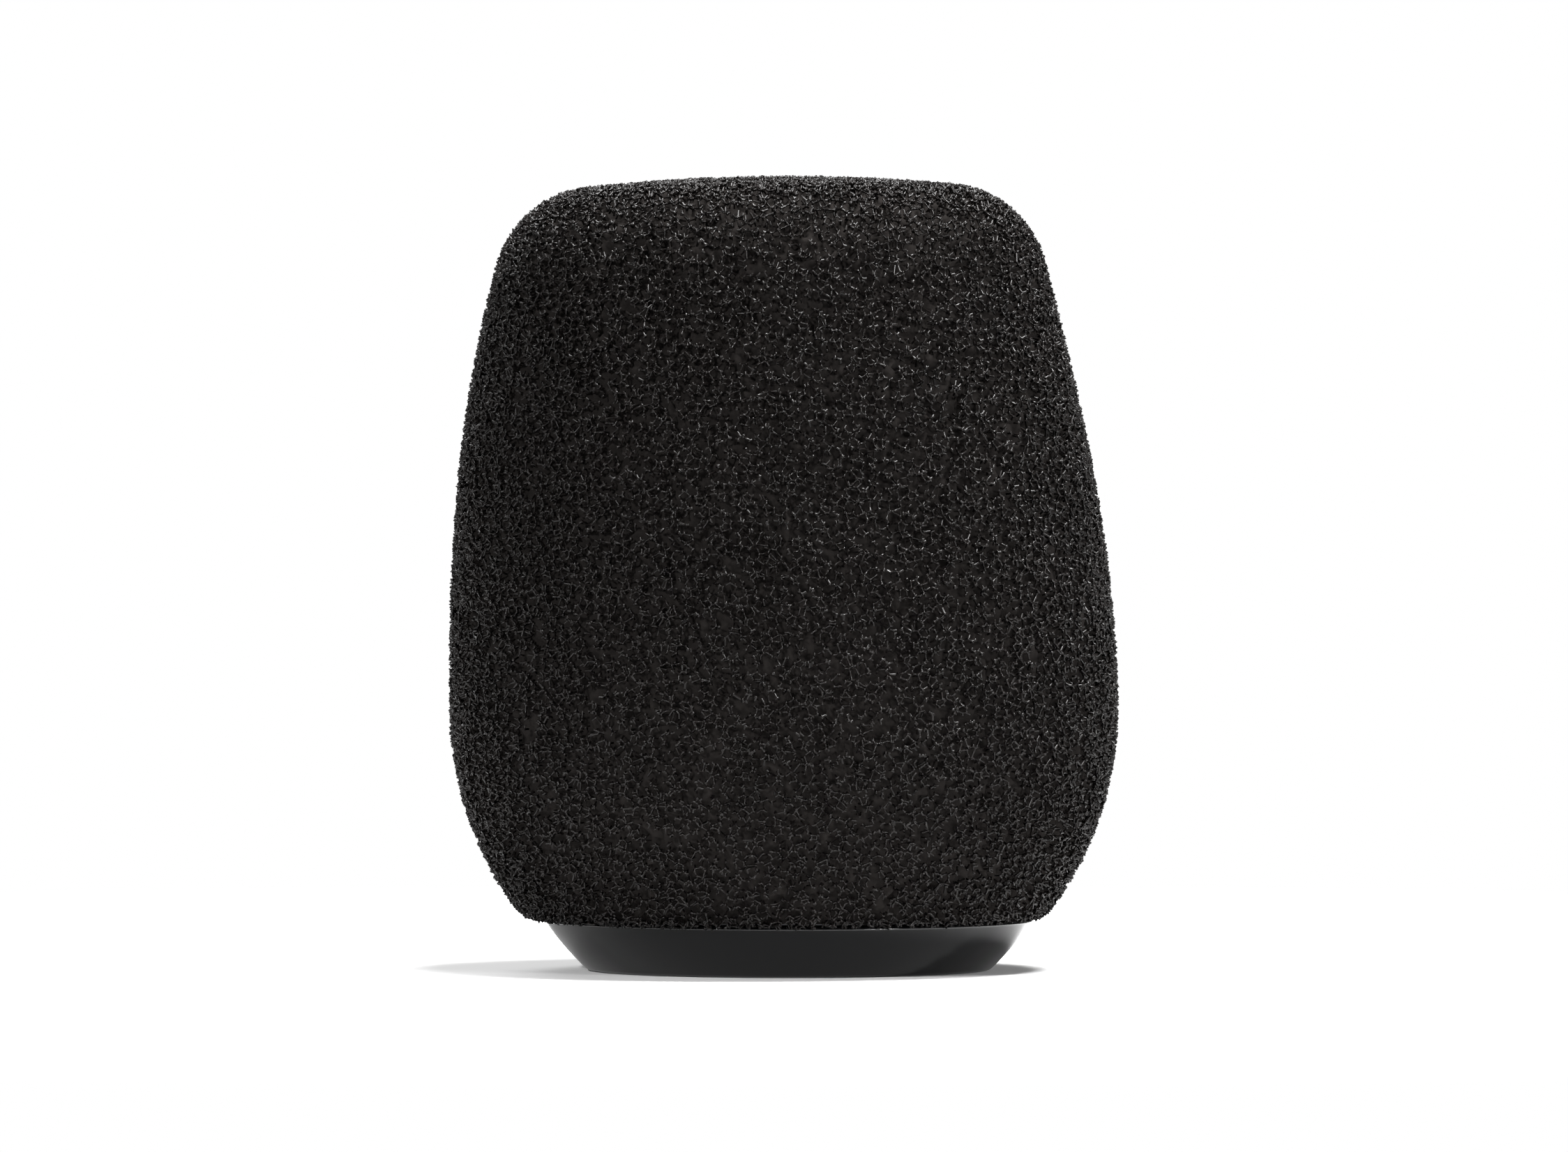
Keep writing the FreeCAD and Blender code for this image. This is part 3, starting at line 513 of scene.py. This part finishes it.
# %% Faces of the foam
SECTORS = 10
CROWN_RADIUS = 27 * MM
CROWN_FLOOR = 80 * MM
MAP_NAME = "OFBake"
MAP_EDGE = 0.02
MAP_RING = FOAM_RADIUS / 3


def mesh_piece(name, points, quads, triangles, places):
    """A mesh object from arrays: points (n, 3), faces with four and with three corners, and for each point
    its place on the piece's own map (n, 2)."""
    mesh = bpy.data.meshes.new(name)
    corners_used = np.concatenate([quads.ravel(), triangles.ravel()]).astype(np.int32)
    starts = np.concatenate([np.arange(len(quads)) * 4, len(quads) * 4 + np.arange(len(triangles)) * 3])
    mesh.vertices.add(len(points))
    mesh.vertices.foreach_set("co", points.astype(np.float32).ravel())
    mesh.loops.add(len(corners_used))
    mesh.loops.foreach_set("vertex_index", corners_used)
    mesh.polygons.add(len(starts))
    mesh.polygons.foreach_set("loop_start", starts.astype(np.int32))
    mesh.polygons.foreach_set("use_smooth", np.ones(len(starts), bool))
    own_map = mesh.uv_layers.new(name=MAP_NAME)
    own_map.uv.foreach_set("vector", places[corners_used].astype(np.float32).ravel())
    mesh.update(calc_edges=True)
    piece = bpy.data.objects.new(name, mesh)
    bpy.context.scene.collection.objects.link(piece)
    return piece


def facing(points, faces, outward):
    """The same faces, with the order of corners turned round where a face looks against outward."""
    a, b, c = (points[faces[:, m]] for m in range(3))
    wrong = (np.cross(b - a, c - a) * outward).sum(1) < 0
    faces = faces.copy()
    faces[wrong] = faces[wrong][:, ::-1]
    return faces


def sector_of(points):
    """Number of the mesh a point belongs to: 0 for the crown, then 1, 2 ... round the side."""
    x = points[:, 0] - lean(points[:, 2])
    turn = (np.arctan2(points[:, 1], x) / (2 * np.pi)) % 1
    crown = (np.hypot(x, points[:, 1]) < CROWN_RADIUS) & (points[:, 2] > CROWN_FLOOR)
    return np.where(crown, 0, 1 + (turn * SECTORS).astype(int) % SECTORS)


def map_places(points, sector):
    """Where a point lies on its mesh's map: seen from above on the crown; by the angle round the axis and
    the angle up, seen from a ring at half height, on a sector of the side. Both fill the map but for a
    thin edge."""
    x = points[:, 0] - lean(points[:, 2])
    if sector == 0:
        flat = np.stack([x, points[:, 1]], 1)
    else:
        middle = (sector - 0.5) / SECTORS
        turn = (np.arctan2(points[:, 1], x) / (2 * np.pi) - middle + 0.5) % 1
        above = points[:, 2] - (FOAM_TOP + FOAM_BOTTOM) / 2
        rise = np.arctan2(above, np.hypot(x, points[:, 1]) - MAP_RING)
        flat = np.stack([turn, rise], 1)
    low, high = flat.min(0), flat.max(0)
    return MAP_EDGE + (1 - 2 * MAP_EDGE) * (flat - low) / (high - low)


def foam_meshes():
    """One mesh for each sector: sides of struts as quads, faces of meeting points, cut faces and closing
    faces as triangles."""
    points = np.concatenate([corner.reshape(-1, 3), cut_rings.reshape(-1, 3)])
    cuts = strut_far < 0
    near = strut_near[:, None] // 4 * 6 + RINGS[strut_near % 4]
    far = strut_far[:, None] // 4 * 6 + RINGS[strut_far % 4]
    far[cuts] = corner.size // 3 + np.arange(cuts.sum() * 3).reshape(-1, 3)
    axis = points[far].mean(1) - points[near].mean(1)
    side = np.stack([near[:, 0], near[:, 1], far[:, 1], far[:, 0]], 1)
    out = (points[near[:, 0]] + points[near[:, 1]]) / 2 - points[near].mean(1)
    level, upright = (points[side[:, k]] - points[side[:, 0]] for k in (1, 3))
    wrong = (np.cross(level, upright) * out).sum(1) < 0
    near_order, far_order = near.copy(), far.copy()
    near_order[wrong], far_order[wrong] = near[wrong][:, ::-1], far[wrong][:, ::-1]
    quads = np.stack([near_order, np.roll(near_order, -1, 1), np.roll(far_order, -1, 1), far_order], 2)

    sector = sector_of(spots)
    strut_sector = sector[strut_near // 4]
    same = ~cuts & (sector[strut_far // 4] == strut_sector)
    joined = np.zeros(len(spots) * 4, bool)
    joined[strut_near] = True
    joined[strut_far[same]] = True
    open_ends = np.nonzero(np.repeat(inside, 4) & ~joined)[0]
    node_caps = open_ends[:, None] // 4 * 6 + RINGS[open_ends % 4]
    node_caps = facing(points, node_caps, away.reshape(-1, 3)[open_ends])
    far_caps = facing(points, far[~same], axis[~same])

    kept = np.nonzero(inside)[0]
    faces = [facing(points, kept[:, None] * 6 + np.array([c for c, p in enumerate(PAIRS) if k in p]),
                    cells[fours[kept, k]] - spots[kept]) for k in range(4)]
    triangles = np.concatenate(faces + [node_caps, far_caps])
    owner = np.concatenate([np.tile(sector[kept], 4), sector[open_ends // 4], strut_sector[~same]])
    made = []
    for number in range(SECTORS + 1):
        q, t = quads[strut_sector == number].reshape(-1, 4), triangles[owner == number]
        used, index = np.unique(np.concatenate([q.ravel(), t.ravel()]), return_inverse=True)
        name = "foam_crown" if number == 0 else f"foam_side_{number}"
        sides, caps = index[:q.size].reshape(-1, 4), index[q.size:].reshape(-1, 3)
        made.append(mesh_piece(name, points[used], sides, caps, map_places(points[used], number)))
    return made


foam_pieces = foam_meshes()
for piece in foam_pieces:
    faces = piece.data.polygons
    print(f"{piece.name}: {len(piece.data.loops) - 2 * len(faces)} triangles")
print(f"{time.perf_counter() - started:.1f} s")

# %% [markdown]
# ## What lies under the struts
# Below the modelled layer the foam goes on, too dark to see strut by strut. A closed body stands for it:
# the same outline moved inwards and turned about the axis, with the hollow for the microphone and the
# recess for the base inside it. A smooth body would catch light like a wall behind the struts. So each
# point of it is pushed in to the back of the bubble that it lies in, and it becomes a surface of pits.

# %% The core's outline
CORE_INSET = DEEPEST - 0.04 * MM
ROW = 0.62 * MM
TURN_STEPS = 416
# The hollow round the microphone, the one round the collet's tube, and the pocket for what stands on the
# plate round that tube. The pocket's top is a height, and so is where the hollow starts to close in a dome.
CAVITY_RADIUS = 16.6 * MM
GUIDE_RADIUS = 18.2 * MM
POCKET_RADIUS = 23.4 * MM
POCKET_TOP = 11.8 * MM
DOME_START = 60 * MM
DOME_STEP = 2 * MM
plate_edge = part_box("base_plate")[1].x
guide_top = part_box("collet_sleeve")[1].z
film_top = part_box("foam_bond_film")[1].z


def arc_points(middle, level, size, first, last, step=ROW):
    """Points (radius, height) along an arc, from its first angle to its last, about one step apart."""
    turn = np.linspace(first, last, max(4, math.ceil(abs(last - first) * size / step)) + 1)
    return np.stack([middle + size * np.cos(turn), level + size * np.sin(turn)], 1)


def core_outside():
    """The outside from the crown's middle down to the foot's edge."""
    runs = []
    for (middle, level), size, first, last in zip(ARC_CENTRES, ARC_ROUNDS, ARC_TURNS, ARC_TURNS[1:]):
        runs.insert(0, arc_points(middle, level, size - CORE_INSET, last, first)[:-1])
    outside = np.concatenate(runs)
    outside[0, 0] = 0
    return outside


def core_inside():
    """The underside, the recess for the base, and the hollow up to the middle of its dome."""
    bottom = FOAM_BOTTOM + CORE_INSET
    steps = np.array([
        (FOOT_RADIUS, bottom), (plate_edge, bottom), (plate_edge, film_top), (POCKET_RADIUS, film_top),
        (POCKET_RADIUS, POCKET_TOP), (GUIDE_RADIUS, POCKET_TOP), (GUIDE_RADIUS, guide_top),
        (CAVITY_RADIUS, guide_top), (CAVITY_RADIUS, (DOME_START + guide_top) / 2)])
    dome = arc_points(0, DOME_START, CAVITY_RADIUS, 0, math.pi / 2, DOME_STEP)
    dome[-1, 0] = 0
    return np.concatenate([steps, dome])


# %% [markdown]
# ## Pits in the core
# A bubble is taken as a ball of its cell's volume. For a point of the core and an inward direction, the
# back of the ball is its centre's distance along that direction, plus the square root of its radius
# squared less its centre's distance across. The farthest back of all the balls round the point counts.

# %% The core
PIT_RADIUS = 0.68 * MM
PIT_REACH = 1.0 * MM
PIT_DEEPEST = 1.1 * MM


def pits(points, inward):
    """How far each point is pushed in."""
    a, b = near_pairs(np.concatenate([cells, points]), PIT_REACH)
    cell, spot = np.minimum(a, b), np.maximum(a, b) - len(cells)
    mixed = (cell < len(cells)) & (spot >= 0)
    cell, spot = cell[mixed], spot[mixed]
    way = cells[cell] - points[spot]
    along = (way * inward[spot]).sum(1)
    room = PIT_RADIUS**2 - (way**2).sum(1) + along**2
    back = np.where(room > 0, along + np.sqrt(np.maximum(room, 0)), 0)
    deepest = np.zeros(len(points))
    np.maximum.at(deepest, spot, back)
    return np.minimum(deepest, PIT_DEEPEST)


def turned_rings(outline, share):
    """The outline turned about the Z axis, as rings of points, with a share of the foam's lean."""
    turn = np.arange(TURN_STEPS) / TURN_STEPS * 2 * np.pi
    radius, height = outline[:, 0, None], outline[:, 1, None]
    across = radius * np.cos(turn)
    rise = CROWN_RISE * bend(height) * across * share
    return np.stack([across + lean(height) * share, radius * np.sin(turn), height + rise], -1)


def foam_core():
    """The rings of the outside, pushed in, and those of the inside, joined to one closed piece. Its map has
    the angle across and the place along the outline up."""
    outside, inside = turned_rings(core_outside(), 1), turned_rings(core_inside(), 0)
    down = np.gradient(outside[1:], axis=0)
    round_it = np.roll(outside[1:], -1, 1) - np.roll(outside[1:], 1, 1)
    inward = unit(np.cross(round_it, down)).reshape(-1, 3)
    inward *= -np.sign((inward * (outside[1:].reshape(-1, 3) - [0, 0, WIDEST])).sum(1))[:, None]
    flat = outside[1:].reshape(-1, 3)
    outside[1:] = (flat + inward * pits(flat, inward)[:, None]).reshape(outside[1:].shape)
    rings = np.concatenate([outside[1:], inside[:-1]])
    points = np.concatenate([rings.reshape(-1, 3), outside[0, :1], inside[-1, :1]])
    at = np.arange(rings[..., 0].size).reshape(-1, TURN_STEPS)
    after = np.roll(at, -1, axis=1)
    quads = np.stack([at[:-1], at[1:], after[1:], after[:-1]], -1).reshape(-1, 4)
    first = np.stack([np.full(TURN_STEPS, at.size), at[0], after[0]], 1)
    last = np.stack([at[-1], np.full(TURN_STEPS, at.size + 1), after[-1]], 1)
    way = np.linspace(MAP_EDGE, 1 - MAP_EDGE, len(rings) + 2)
    across = np.abs(np.linspace(-1, 1, TURN_STEPS))
    places = np.stack([np.tile(across, len(rings)), np.repeat(way[1:-1], TURN_STEPS)], 1)
    places = np.concatenate([places, [(0.5, way[0]), (0.5, way[-1])]])
    return mesh_piece("foam_core", points, quads, np.concatenate([first, last]), places)


core = foam_core()
print(f"foam_core: {len(core.data.vertices)} points, {time.perf_counter() - started:.1f} s")

# %% [markdown]
# ## One way to add a node
# Every finish below is a small network of nodes. This function adds one node, sets its values and links
# its inputs, so that a material reads like a recipe.

# %% Colours and nodes
def linear(code):
    """An sRGB colour such as "#1c1b1c" as linear RGBA: each channel c is c/12.92 when small, and otherwise
    ((c + 0.055) / 1.055) to the power 2.4."""
    channels = [int(code[k:k + 2], 16) / 255 for k in (1, 3, 5)]
    return [c / 12.92 if c <= 0.04045 else ((c + 0.055) / 1.055) ** 2.4 for c in channels] + [1.0]


def node(tree, kind, settings=(), **inputs):
    """Adds a node. Settings are its own properties; inputs are values or the outputs of other nodes, by
    the input's name with _ for a space, or by its number as i0, i1 ..."""
    made = tree.nodes.new(kind)
    for name, value in dict(settings).items():
        setattr(made, name, value)
    for name, value in inputs.items():
        key = int(name[1:]) if name[0] == "i" and name[1:].isdigit() else name.replace("_", " ")
        if isinstance(value, bpy.types.NodeSocket):
            tree.links.new(value, made.inputs[key])
        else:
            made.inputs[key].default_value = value
    return made


def new_material(name):
    """An empty material with its output node."""
    material = bpy.data.materials.new(name)
    material.use_nodes = True
    material.node_tree.nodes.clear()
    return material, material.node_tree, material.node_tree.nodes.new("ShaderNodeOutputMaterial")


def ramp(tree, factor, first, last):
    """A colour ramp between two stops, each a place and an sRGB colour."""
    made = node(tree, "ShaderNodeValToRGB", Fac=factor)
    for element, (place, code) in zip(made.color_ramp.elements, (first, last)):
        element.position, element.color = place, linear(code)
    return made.outputs["Color"]


# %% [markdown]
# ## Reticulated polyurethane foam
# The foam is black all through, dyed with carbon before it foams. A gas flame burnt its films away, and the
# melt drew back into the struts, which leaves them smooth: they are satin, although the foam as a whole
# looks dull. Dust and small changes in the dye make some patches a little browner than others. Most of the
# light that falls between the struts never comes out again, so what lies behind them is nearly black.

# %% The foam's finish
def foam_struts():
    """Polyurethane, melted smooth, in dusty patches about 9 mm wide. A strut is drawn a little thicker here
    than it is, and so it would also glint too much: the specular level is turned down for that."""
    material, tree, out = new_material("polyurethane_foam_struts")
    place = node(tree, "ShaderNodeTexCoord").outputs["Object"]
    dust = node(tree, "ShaderNodeTexNoise", Vector=place, Scale=1 / (9 * MM), Detail=3.0, Roughness=0.6)
    colour = ramp(tree, dust.outputs["Fac"], (0.3, "#100e0d"), (0.7, "#171413"))
    shader = node(tree, "ShaderNodeBsdfPrincipled", Base_Color=colour, Roughness=0.3, IOR=1.5,
                  Specular_IOR_Level=0.22)
    tree.links.new(shader.outputs["BSDF"], out.inputs["Surface"])
    return material


def foam_depths():
    """The same foam a bubble further in. All that comes back from there is a little scattered light."""
    material, tree, out = new_material("polyurethane_foam_depths")
    shader = node(tree, "ShaderNodeBsdfPrincipled", Base_Color=linear("#1e1c1b"), Roughness=1.0,
                  Specular_IOR_Level=0.0)
    tree.links.new(shader.outputs["BSDF"], out.inputs["Surface"])
    return material


struts, depths = foam_struts(), foam_depths()
for piece in foam_pieces + [core]:
    piece.data.materials.append(depths if piece is core else struts)
    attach(piece, "base")
    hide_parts("foam_cover")
print("foam finished:", len(foam_pieces) + 1, "pieces")

# %% [markdown]
# ## Black plastics
# The collar is injection-moulded ABS, black all through, from a polished tool. That gives an even, half
# glossy skin that mirrors the floor. A moulded face is never quite flat: it swells a few thousandths of a
# millimetre between its ribs, and hands leave duller places on it. The hidden mouldings come from tools
# that were left as the spark left them, so their skin is a fine matt grain.

# %% Moulded surfaces
def dress(name, material):
    """Gives a CAD node this material in place of the plain one it came with."""
    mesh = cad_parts[name].data
    mesh.materials.clear()
    mesh.materials.append(material)
    print(f"{name}: {material.name}")


def noise(tree, size, detail=2.0, stretch=(1, 1, 1)):
    """A noise whose blobs are about one size wide, in metres, or wider along an axis by its stretch."""
    place = node(tree, "ShaderNodeTexCoord").outputs["Object"]
    scaled = node(tree, "ShaderNodeMapping", Vector=place, Scale=tuple(1 / s for s in stretch))
    made = node(tree, "ShaderNodeTexNoise", Vector=scaled.outputs["Vector"], Scale=1 / size, Detail=detail)
    return made.outputs["Fac"]


def polished_abs():
    """ABS from a polished tool: slight waves 6 mm wide, and roughness that handling has spread. Thin skin
    oil from hands sits on it and mirrors less than bare plastic, so the specular level is below one half."""
    material, tree, out = new_material("moulded_black_abs_polished")
    waves = node(tree, "ShaderNodeBump", Height=noise(tree, 6 * MM), Distance=0.012 * MM, Strength=1.0)
    touched = node(tree, "ShaderNodeMapRange", i0=noise(tree, 14 * MM, 4.0), i1=0.3, i2=0.7, i3=0.13, i4=0.19)
    shader = node(tree, "ShaderNodeBsdfPrincipled", Base_Color=linear("#0b0b0c"), IOR=1.5,
                  Specular_IOR_Level=0.36, Roughness=touched.outputs["Result"],
                  Normal=waves.outputs["Normal"])
    tree.links.new(shader.outputs["BSDF"], out.inputs["Surface"])
    return material


def sparked_abs():
    """ABS from a spark-eroded tool: pits of about 0.05 mm, drawn 0.2 mm wide so that they show at all."""
    material, tree, out = new_material("moulded_black_abs_sparked")
    grain = node(tree, "ShaderNodeBump", Height=noise(tree, 0.2 * MM, 3.0), Distance=0.02 * MM, Strength=0.6)
    shader = node(tree, "ShaderNodeBsdfPrincipled", Base_Color=linear("#2f2f31"), Roughness=0.55, IOR=1.53,
                  Normal=grain.outputs["Normal"])
    tree.links.new(shader.outputs["BSDF"], out.inputs["Surface"])
    return material


dress("twist_collar", polished_abs())
dress("base_plate", sparked_abs())

# %% [markdown]
# ## Plastics that bend and slide
# The collet's fingers have to bend thousands of times, and acetal does that: it is dense, smooth and looks
# waxy. The squeeze ring is natural nylon, cream coloured because nothing dyes it, with faint streaks where
# the melt flowed round the ring. The washer is peeled from a rod of PTFE, which leaves it white and slippery
# with fine turning lines.

# %% Acetal, nylon and PTFE
def rings(tree, spacing):
    """Rings round the Z axis, one for each spacing: a wave texture has a band every 2 pi / (20 * scale)."""
    place = node(tree, "ShaderNodeTexCoord").outputs["Object"]
    made = node(tree, "ShaderNodeTexWave", {"wave_type": "RINGS", "rings_direction": "Z"}, Vector=place,
                Scale=2 * math.pi / (20 * spacing), Distortion=1.5, Detail=2.0)
    return made.outputs["Fac"]


def acetal():
    """Acetal, dyed dark grey in the melt: an even satin skin with a soft, waxy gloss."""
    material, tree, out = new_material("moulded_grey_acetal")
    colour = ramp(tree, noise(tree, 5 * MM), (0.35, "#3b3b3d"), (0.65, "#444446"))
    shader = node(tree, "ShaderNodeBsdfPrincipled", Base_Color=colour, Roughness=0.36, IOR=1.48)
    tree.links.new(shader.outputs["BSDF"], out.inputs["Surface"])
    return material


def natural_nylon():
    """Nylon without dye: cream, satin, with flow streaks about 0.6 mm high and much longer round the ring."""
    material, tree, out = new_material("moulded_natural_nylon")
    colour = ramp(tree, noise(tree, 0.6 * MM, 3.0, (8, 8, 1)), (0.3, "#c8c3b5"), (0.7, "#d3cfc3"))
    shader = node(tree, "ShaderNodeBsdfPrincipled", Base_Color=colour, Roughness=0.4, IOR=1.53)
    tree.links.new(shader.outputs["BSDF"], out.inputs["Surface"])
    return material


def skived_ptfe():
    """PTFE peeled with a blade: white and satin, with lines 0.15 mm apart."""
    material, tree, out = new_material("skived_white_ptfe")
    lines = node(tree, "ShaderNodeBump", Height=rings(tree, 0.15 * MM), Distance=0.01 * MM, Strength=0.5)
    shader = node(tree, "ShaderNodeBsdfPrincipled", Base_Color=linear("#e0e0dc"), Roughness=0.38, IOR=1.36,
                  Normal=lines.outputs["Normal"])
    tree.links.new(shader.outputs["BSDF"], out.inputs["Surface"])
    return material


dress("collet_sleeve", acetal())
dress("squeeze_ring", natural_nylon())
dress("friction_washer", skived_ptfe())

# %% [markdown]
# ## Rubber and adhesive
# The sleeve that grips the microphone is moulded silicone rubber: matt, because the mould is blasted so that
# the soft part comes off it, with pale dust that clings to it. The foam is stuck to the plate with contact
# adhesive, brushed on both, which dries to an amber film, glossy where it lies thick.

# %% Rubber and adhesive
def silicone_rubber():
    """Silicone with dust in patches of 3 mm. The blasted mould's grain is about 0.1 mm, drawn at 0.25 mm."""
    material, tree, out = new_material("moulded_black_silicone_rubber")
    colour = ramp(tree, noise(tree, 3 * MM, 5.0), (0.4, "#29292a"), (0.75, "#363635"))
    grain = node(tree, "ShaderNodeBump", Height=noise(tree, 0.25 * MM), Distance=0.015 * MM, Strength=0.5)
    shader = node(tree, "ShaderNodeBsdfPrincipled", Base_Color=colour, Roughness=0.72, IOR=1.41,
                  Normal=grain.outputs["Normal"])
    tree.links.new(shader.outputs["BSDF"], out.inputs["Surface"])
    return material


def contact_adhesive():
    """Dried adhesive in strokes about 2.5 mm wide: where it lies thick it is raised, darker and glossier."""
    material, tree, out = new_material("dried_contact_adhesive")
    thick = noise(tree, 2.5 * MM, 4.0)
    colour = ramp(tree, thick, (0.35, "#95907f"), (0.65, "#7c7358"))
    gloss = node(tree, "ShaderNodeMapRange", i0=thick, i1=0.35, i2=0.65, i3=0.6, i4=0.3)
    strands = node(tree, "ShaderNodeBump", Height=thick, Distance=0.08 * MM, Strength=0.6)
    shader = node(tree, "ShaderNodeBsdfPrincipled", Base_Color=colour, Roughness=gloss.outputs["Result"],
                  IOR=1.5, Normal=strands.outputs["Normal"])
    tree.links.new(shader.outputs["BSDF"], out.inputs["Surface"])
    return material


dress("grip_liner", silicone_rubber())
dress("foam_bond_film", contact_adhesive())

# %% [markdown]
# ## Steel
# The screws are zinc-plated: a bright, slightly blue skin, uneven where the bath clouded it. The snap ring is
# bent from drawn spring wire, whose fine lines run along it, so its highlight is stretched across them.

# %% Zinc and spring steel
def zinc_plate():
    """Zinc, clouded in patches of about half a millimetre, some bluer and smoother than others."""
    material, tree, out = new_material("zinc_plated_steel")
    cloud = noise(tree, 0.5 * MM, 4.0)
    colour = ramp(tree, cloud, (0.35, "#bcc1c6"), (0.65, "#c9c8c0"))
    gloss = node(tree, "ShaderNodeMapRange", i0=cloud, i1=0.3, i2=0.7, i3=0.24, i4=0.38)
    shader = node(tree, "ShaderNodeBsdfPrincipled", Base_Color=colour, Metallic=1.0,
                  Roughness=gloss.outputs["Result"])
    tree.links.new(shader.outputs["BSDF"], out.inputs["Surface"])
    return material


def drawn_spring_wire():
    """Drawn wire: its lines are about 0.01 mm apart, drawn 0.1 mm apart. The tangent runs round the axis."""
    material, tree, out = new_material("drawn_spring_steel")
    colour = ramp(tree, rings(tree, 0.1 * MM), (0.2, "#abadb1"), (0.8, "#b9bbbe"))
    round_it = node(tree, "ShaderNodeTangent", {"direction_type": "RADIAL", "axis": "Z"})
    shader = node(tree, "ShaderNodeBsdfPrincipled", Base_Color=colour, Metallic=1.0, Roughness=0.3,
                  Anisotropic=0.6, Tangent=round_it.outputs["Tangent"])
    tree.links.new(shader.outputs["BSDF"], out.inputs["Surface"])
    return material


dress("collet_screws", zinc_plate())
dress("snap_ring", drawn_spring_wire())

# %% [markdown]
# ## The studio
# The foam is so dark that its shape shows only by which side is lit. A small key light stands low at the
# front left: the foam's shadow falls to the back right, and the glossy collar mirrors its slanting edge. A
# light almost overhead brightens the crown and the right side, a low one at the front right makes the
# struts glint, and the left stays darkest. One behind lights the back. The room is white paper to the
# camera, but gives much less light than it shows. The floor is paper too, lit only near the object, and
# fades into the same white farther out.

# %% Floor, lights and room
FLOOR_SIZE = 4.0
FLOOR_STEPS = 24
FLOOR_GAP = 0.02 * MM
FADE_FROM = 0.07
FADE_OUT = 0.3
PAPER_NEAR = 0.76
PAPER_FAR = 0.08
ROOM_LIGHT = 0.2
LIGHT_AIM = 50 * MM
# Name, azimuth and rise in degrees, distance and width in metres, power in watts.
LIGHTS = [
    ("key", -33, 24, 1.1, 0.04, 8),
    ("overhead", 75, 75, 1.1, 0.5, 50),
    ("fill", 45, 8, 1.2, 0.2, 8.5),
    ("back", 205, 40, 1.2, 0.6, 7),
]


def floor():
    """A square floor whose points lie in one plane, just under the collar's rim."""
    side = np.linspace(-FLOOR_SIZE / 2, FLOOR_SIZE / 2, FLOOR_STEPS + 1)
    x, y = np.meshgrid(side, side, indexing="ij")
    points = np.stack([x, y, np.full(x.shape, cad_low.z - FLOOR_GAP)], -1).reshape(-1, 3)
    at = np.arange(len(points)).reshape(x.shape)
    quads = np.stack([at[:-1, :-1], at[1:, :-1], at[1:, 1:], at[:-1, 1:]], -1).reshape(-1, 4)
    piece = mesh_piece("floor", points, quads, np.empty((0, 3), int), np.zeros((len(points), 2)))
    piece.data.materials.append(studio_paper())


def studio_paper():
    """White paper: diffuse near the object, and the farther from the origin, the more it is plain white to
    the camera. For all other light it gets darker farther out instead, like a small sheet in a dark studio:
    that is what the object mirrors."""
    material, tree, out = new_material("studio_paper")
    place = node(tree, "ShaderNodeTexCoord").outputs["Object"]
    away = node(tree, "ShaderNodeVectorMath", {"operation": "LENGTH"}, i0=place).outputs["Value"]
    fade = node(tree, "ShaderNodeMapRange", {"interpolation_type": "SMOOTHSTEP"}, i0=away, i1=FADE_FROM,
                i2=FADE_OUT)
    seen = node(tree, "ShaderNodeLightPath").outputs["Is Camera Ray"]
    share = node(tree, "ShaderNodeMath", {"operation": "MULTIPLY"}, i0=fade.outputs["Result"], i1=seen)
    near = node(tree, "ShaderNodeMapRange", i0=away, i1=FADE_FROM, i2=FADE_OUT, i3=PAPER_NEAR, i4=PAPER_FAR)
    lit = node(tree, "ShaderNodeMath", {"operation": "MAXIMUM"}, i0=near.outputs["Result"], i1=seen)
    paper = node(tree, "ShaderNodeBsdfDiffuse", Color=lit.outputs[0])
    white = node(tree, "ShaderNodeEmission", Color=(1, 1, 1, 1), Strength=1.0)
    both = node(tree, "ShaderNodeMixShader", i0=share.outputs[0], i1=paper.outputs[0], i2=white.outputs[0])
    tree.links.new(both.outputs[0], out.inputs["Surface"])
    return material


def soft_light(name, azimuth, rise, distance, width, power):
    """A square area light aimed at the middle of the windscreen. Azimuth is to the right of the camera,
    rise is above the floor, both in degrees."""
    lamp = bpy.data.objects.new(name, bpy.data.lights.new(name, "AREA"))
    bpy.context.scene.collection.objects.link(lamp)
    lamp.data.size, lamp.data.energy = width, power
    a, e = math.radians(azimuth), math.radians(rise)
    way = Vector((math.sin(a) * math.cos(e), -math.cos(a) * math.cos(e), math.sin(e)))
    lamp.location = Vector((0, 0, LIGHT_AIM)) + distance * way
    lamp.rotation_euler = way.to_track_quat("Z", "Y").to_euler()


def room(brightness):
    """A room that is full white where the camera looks straight at it, and dimmer as a light."""
    world = bpy.data.worlds.new("room")
    world.use_nodes = True
    tree = world.node_tree
    tree.nodes.clear()
    light = node(tree, "ShaderNodeBackground", Color=(1, 1, 1, 1), Strength=brightness)
    paper = node(tree, "ShaderNodeBackground", Color=(1, 1, 1, 1), Strength=1.0)
    seen = node(tree, "ShaderNodeLightPath").outputs["Is Camera Ray"]
    both = node(tree, "ShaderNodeMixShader", i0=seen, i1=light.outputs[0], i2=paper.outputs[0])
    node(tree, "ShaderNodeOutputWorld", Surface=both.outputs[0])
    bpy.context.scene.world = world


floor()
for light in LIGHTS:
    soft_light(*light)
room(ROOM_LIGHT)
bpy.context.scene.view_settings.view_transform = "Standard"
print("stage set")
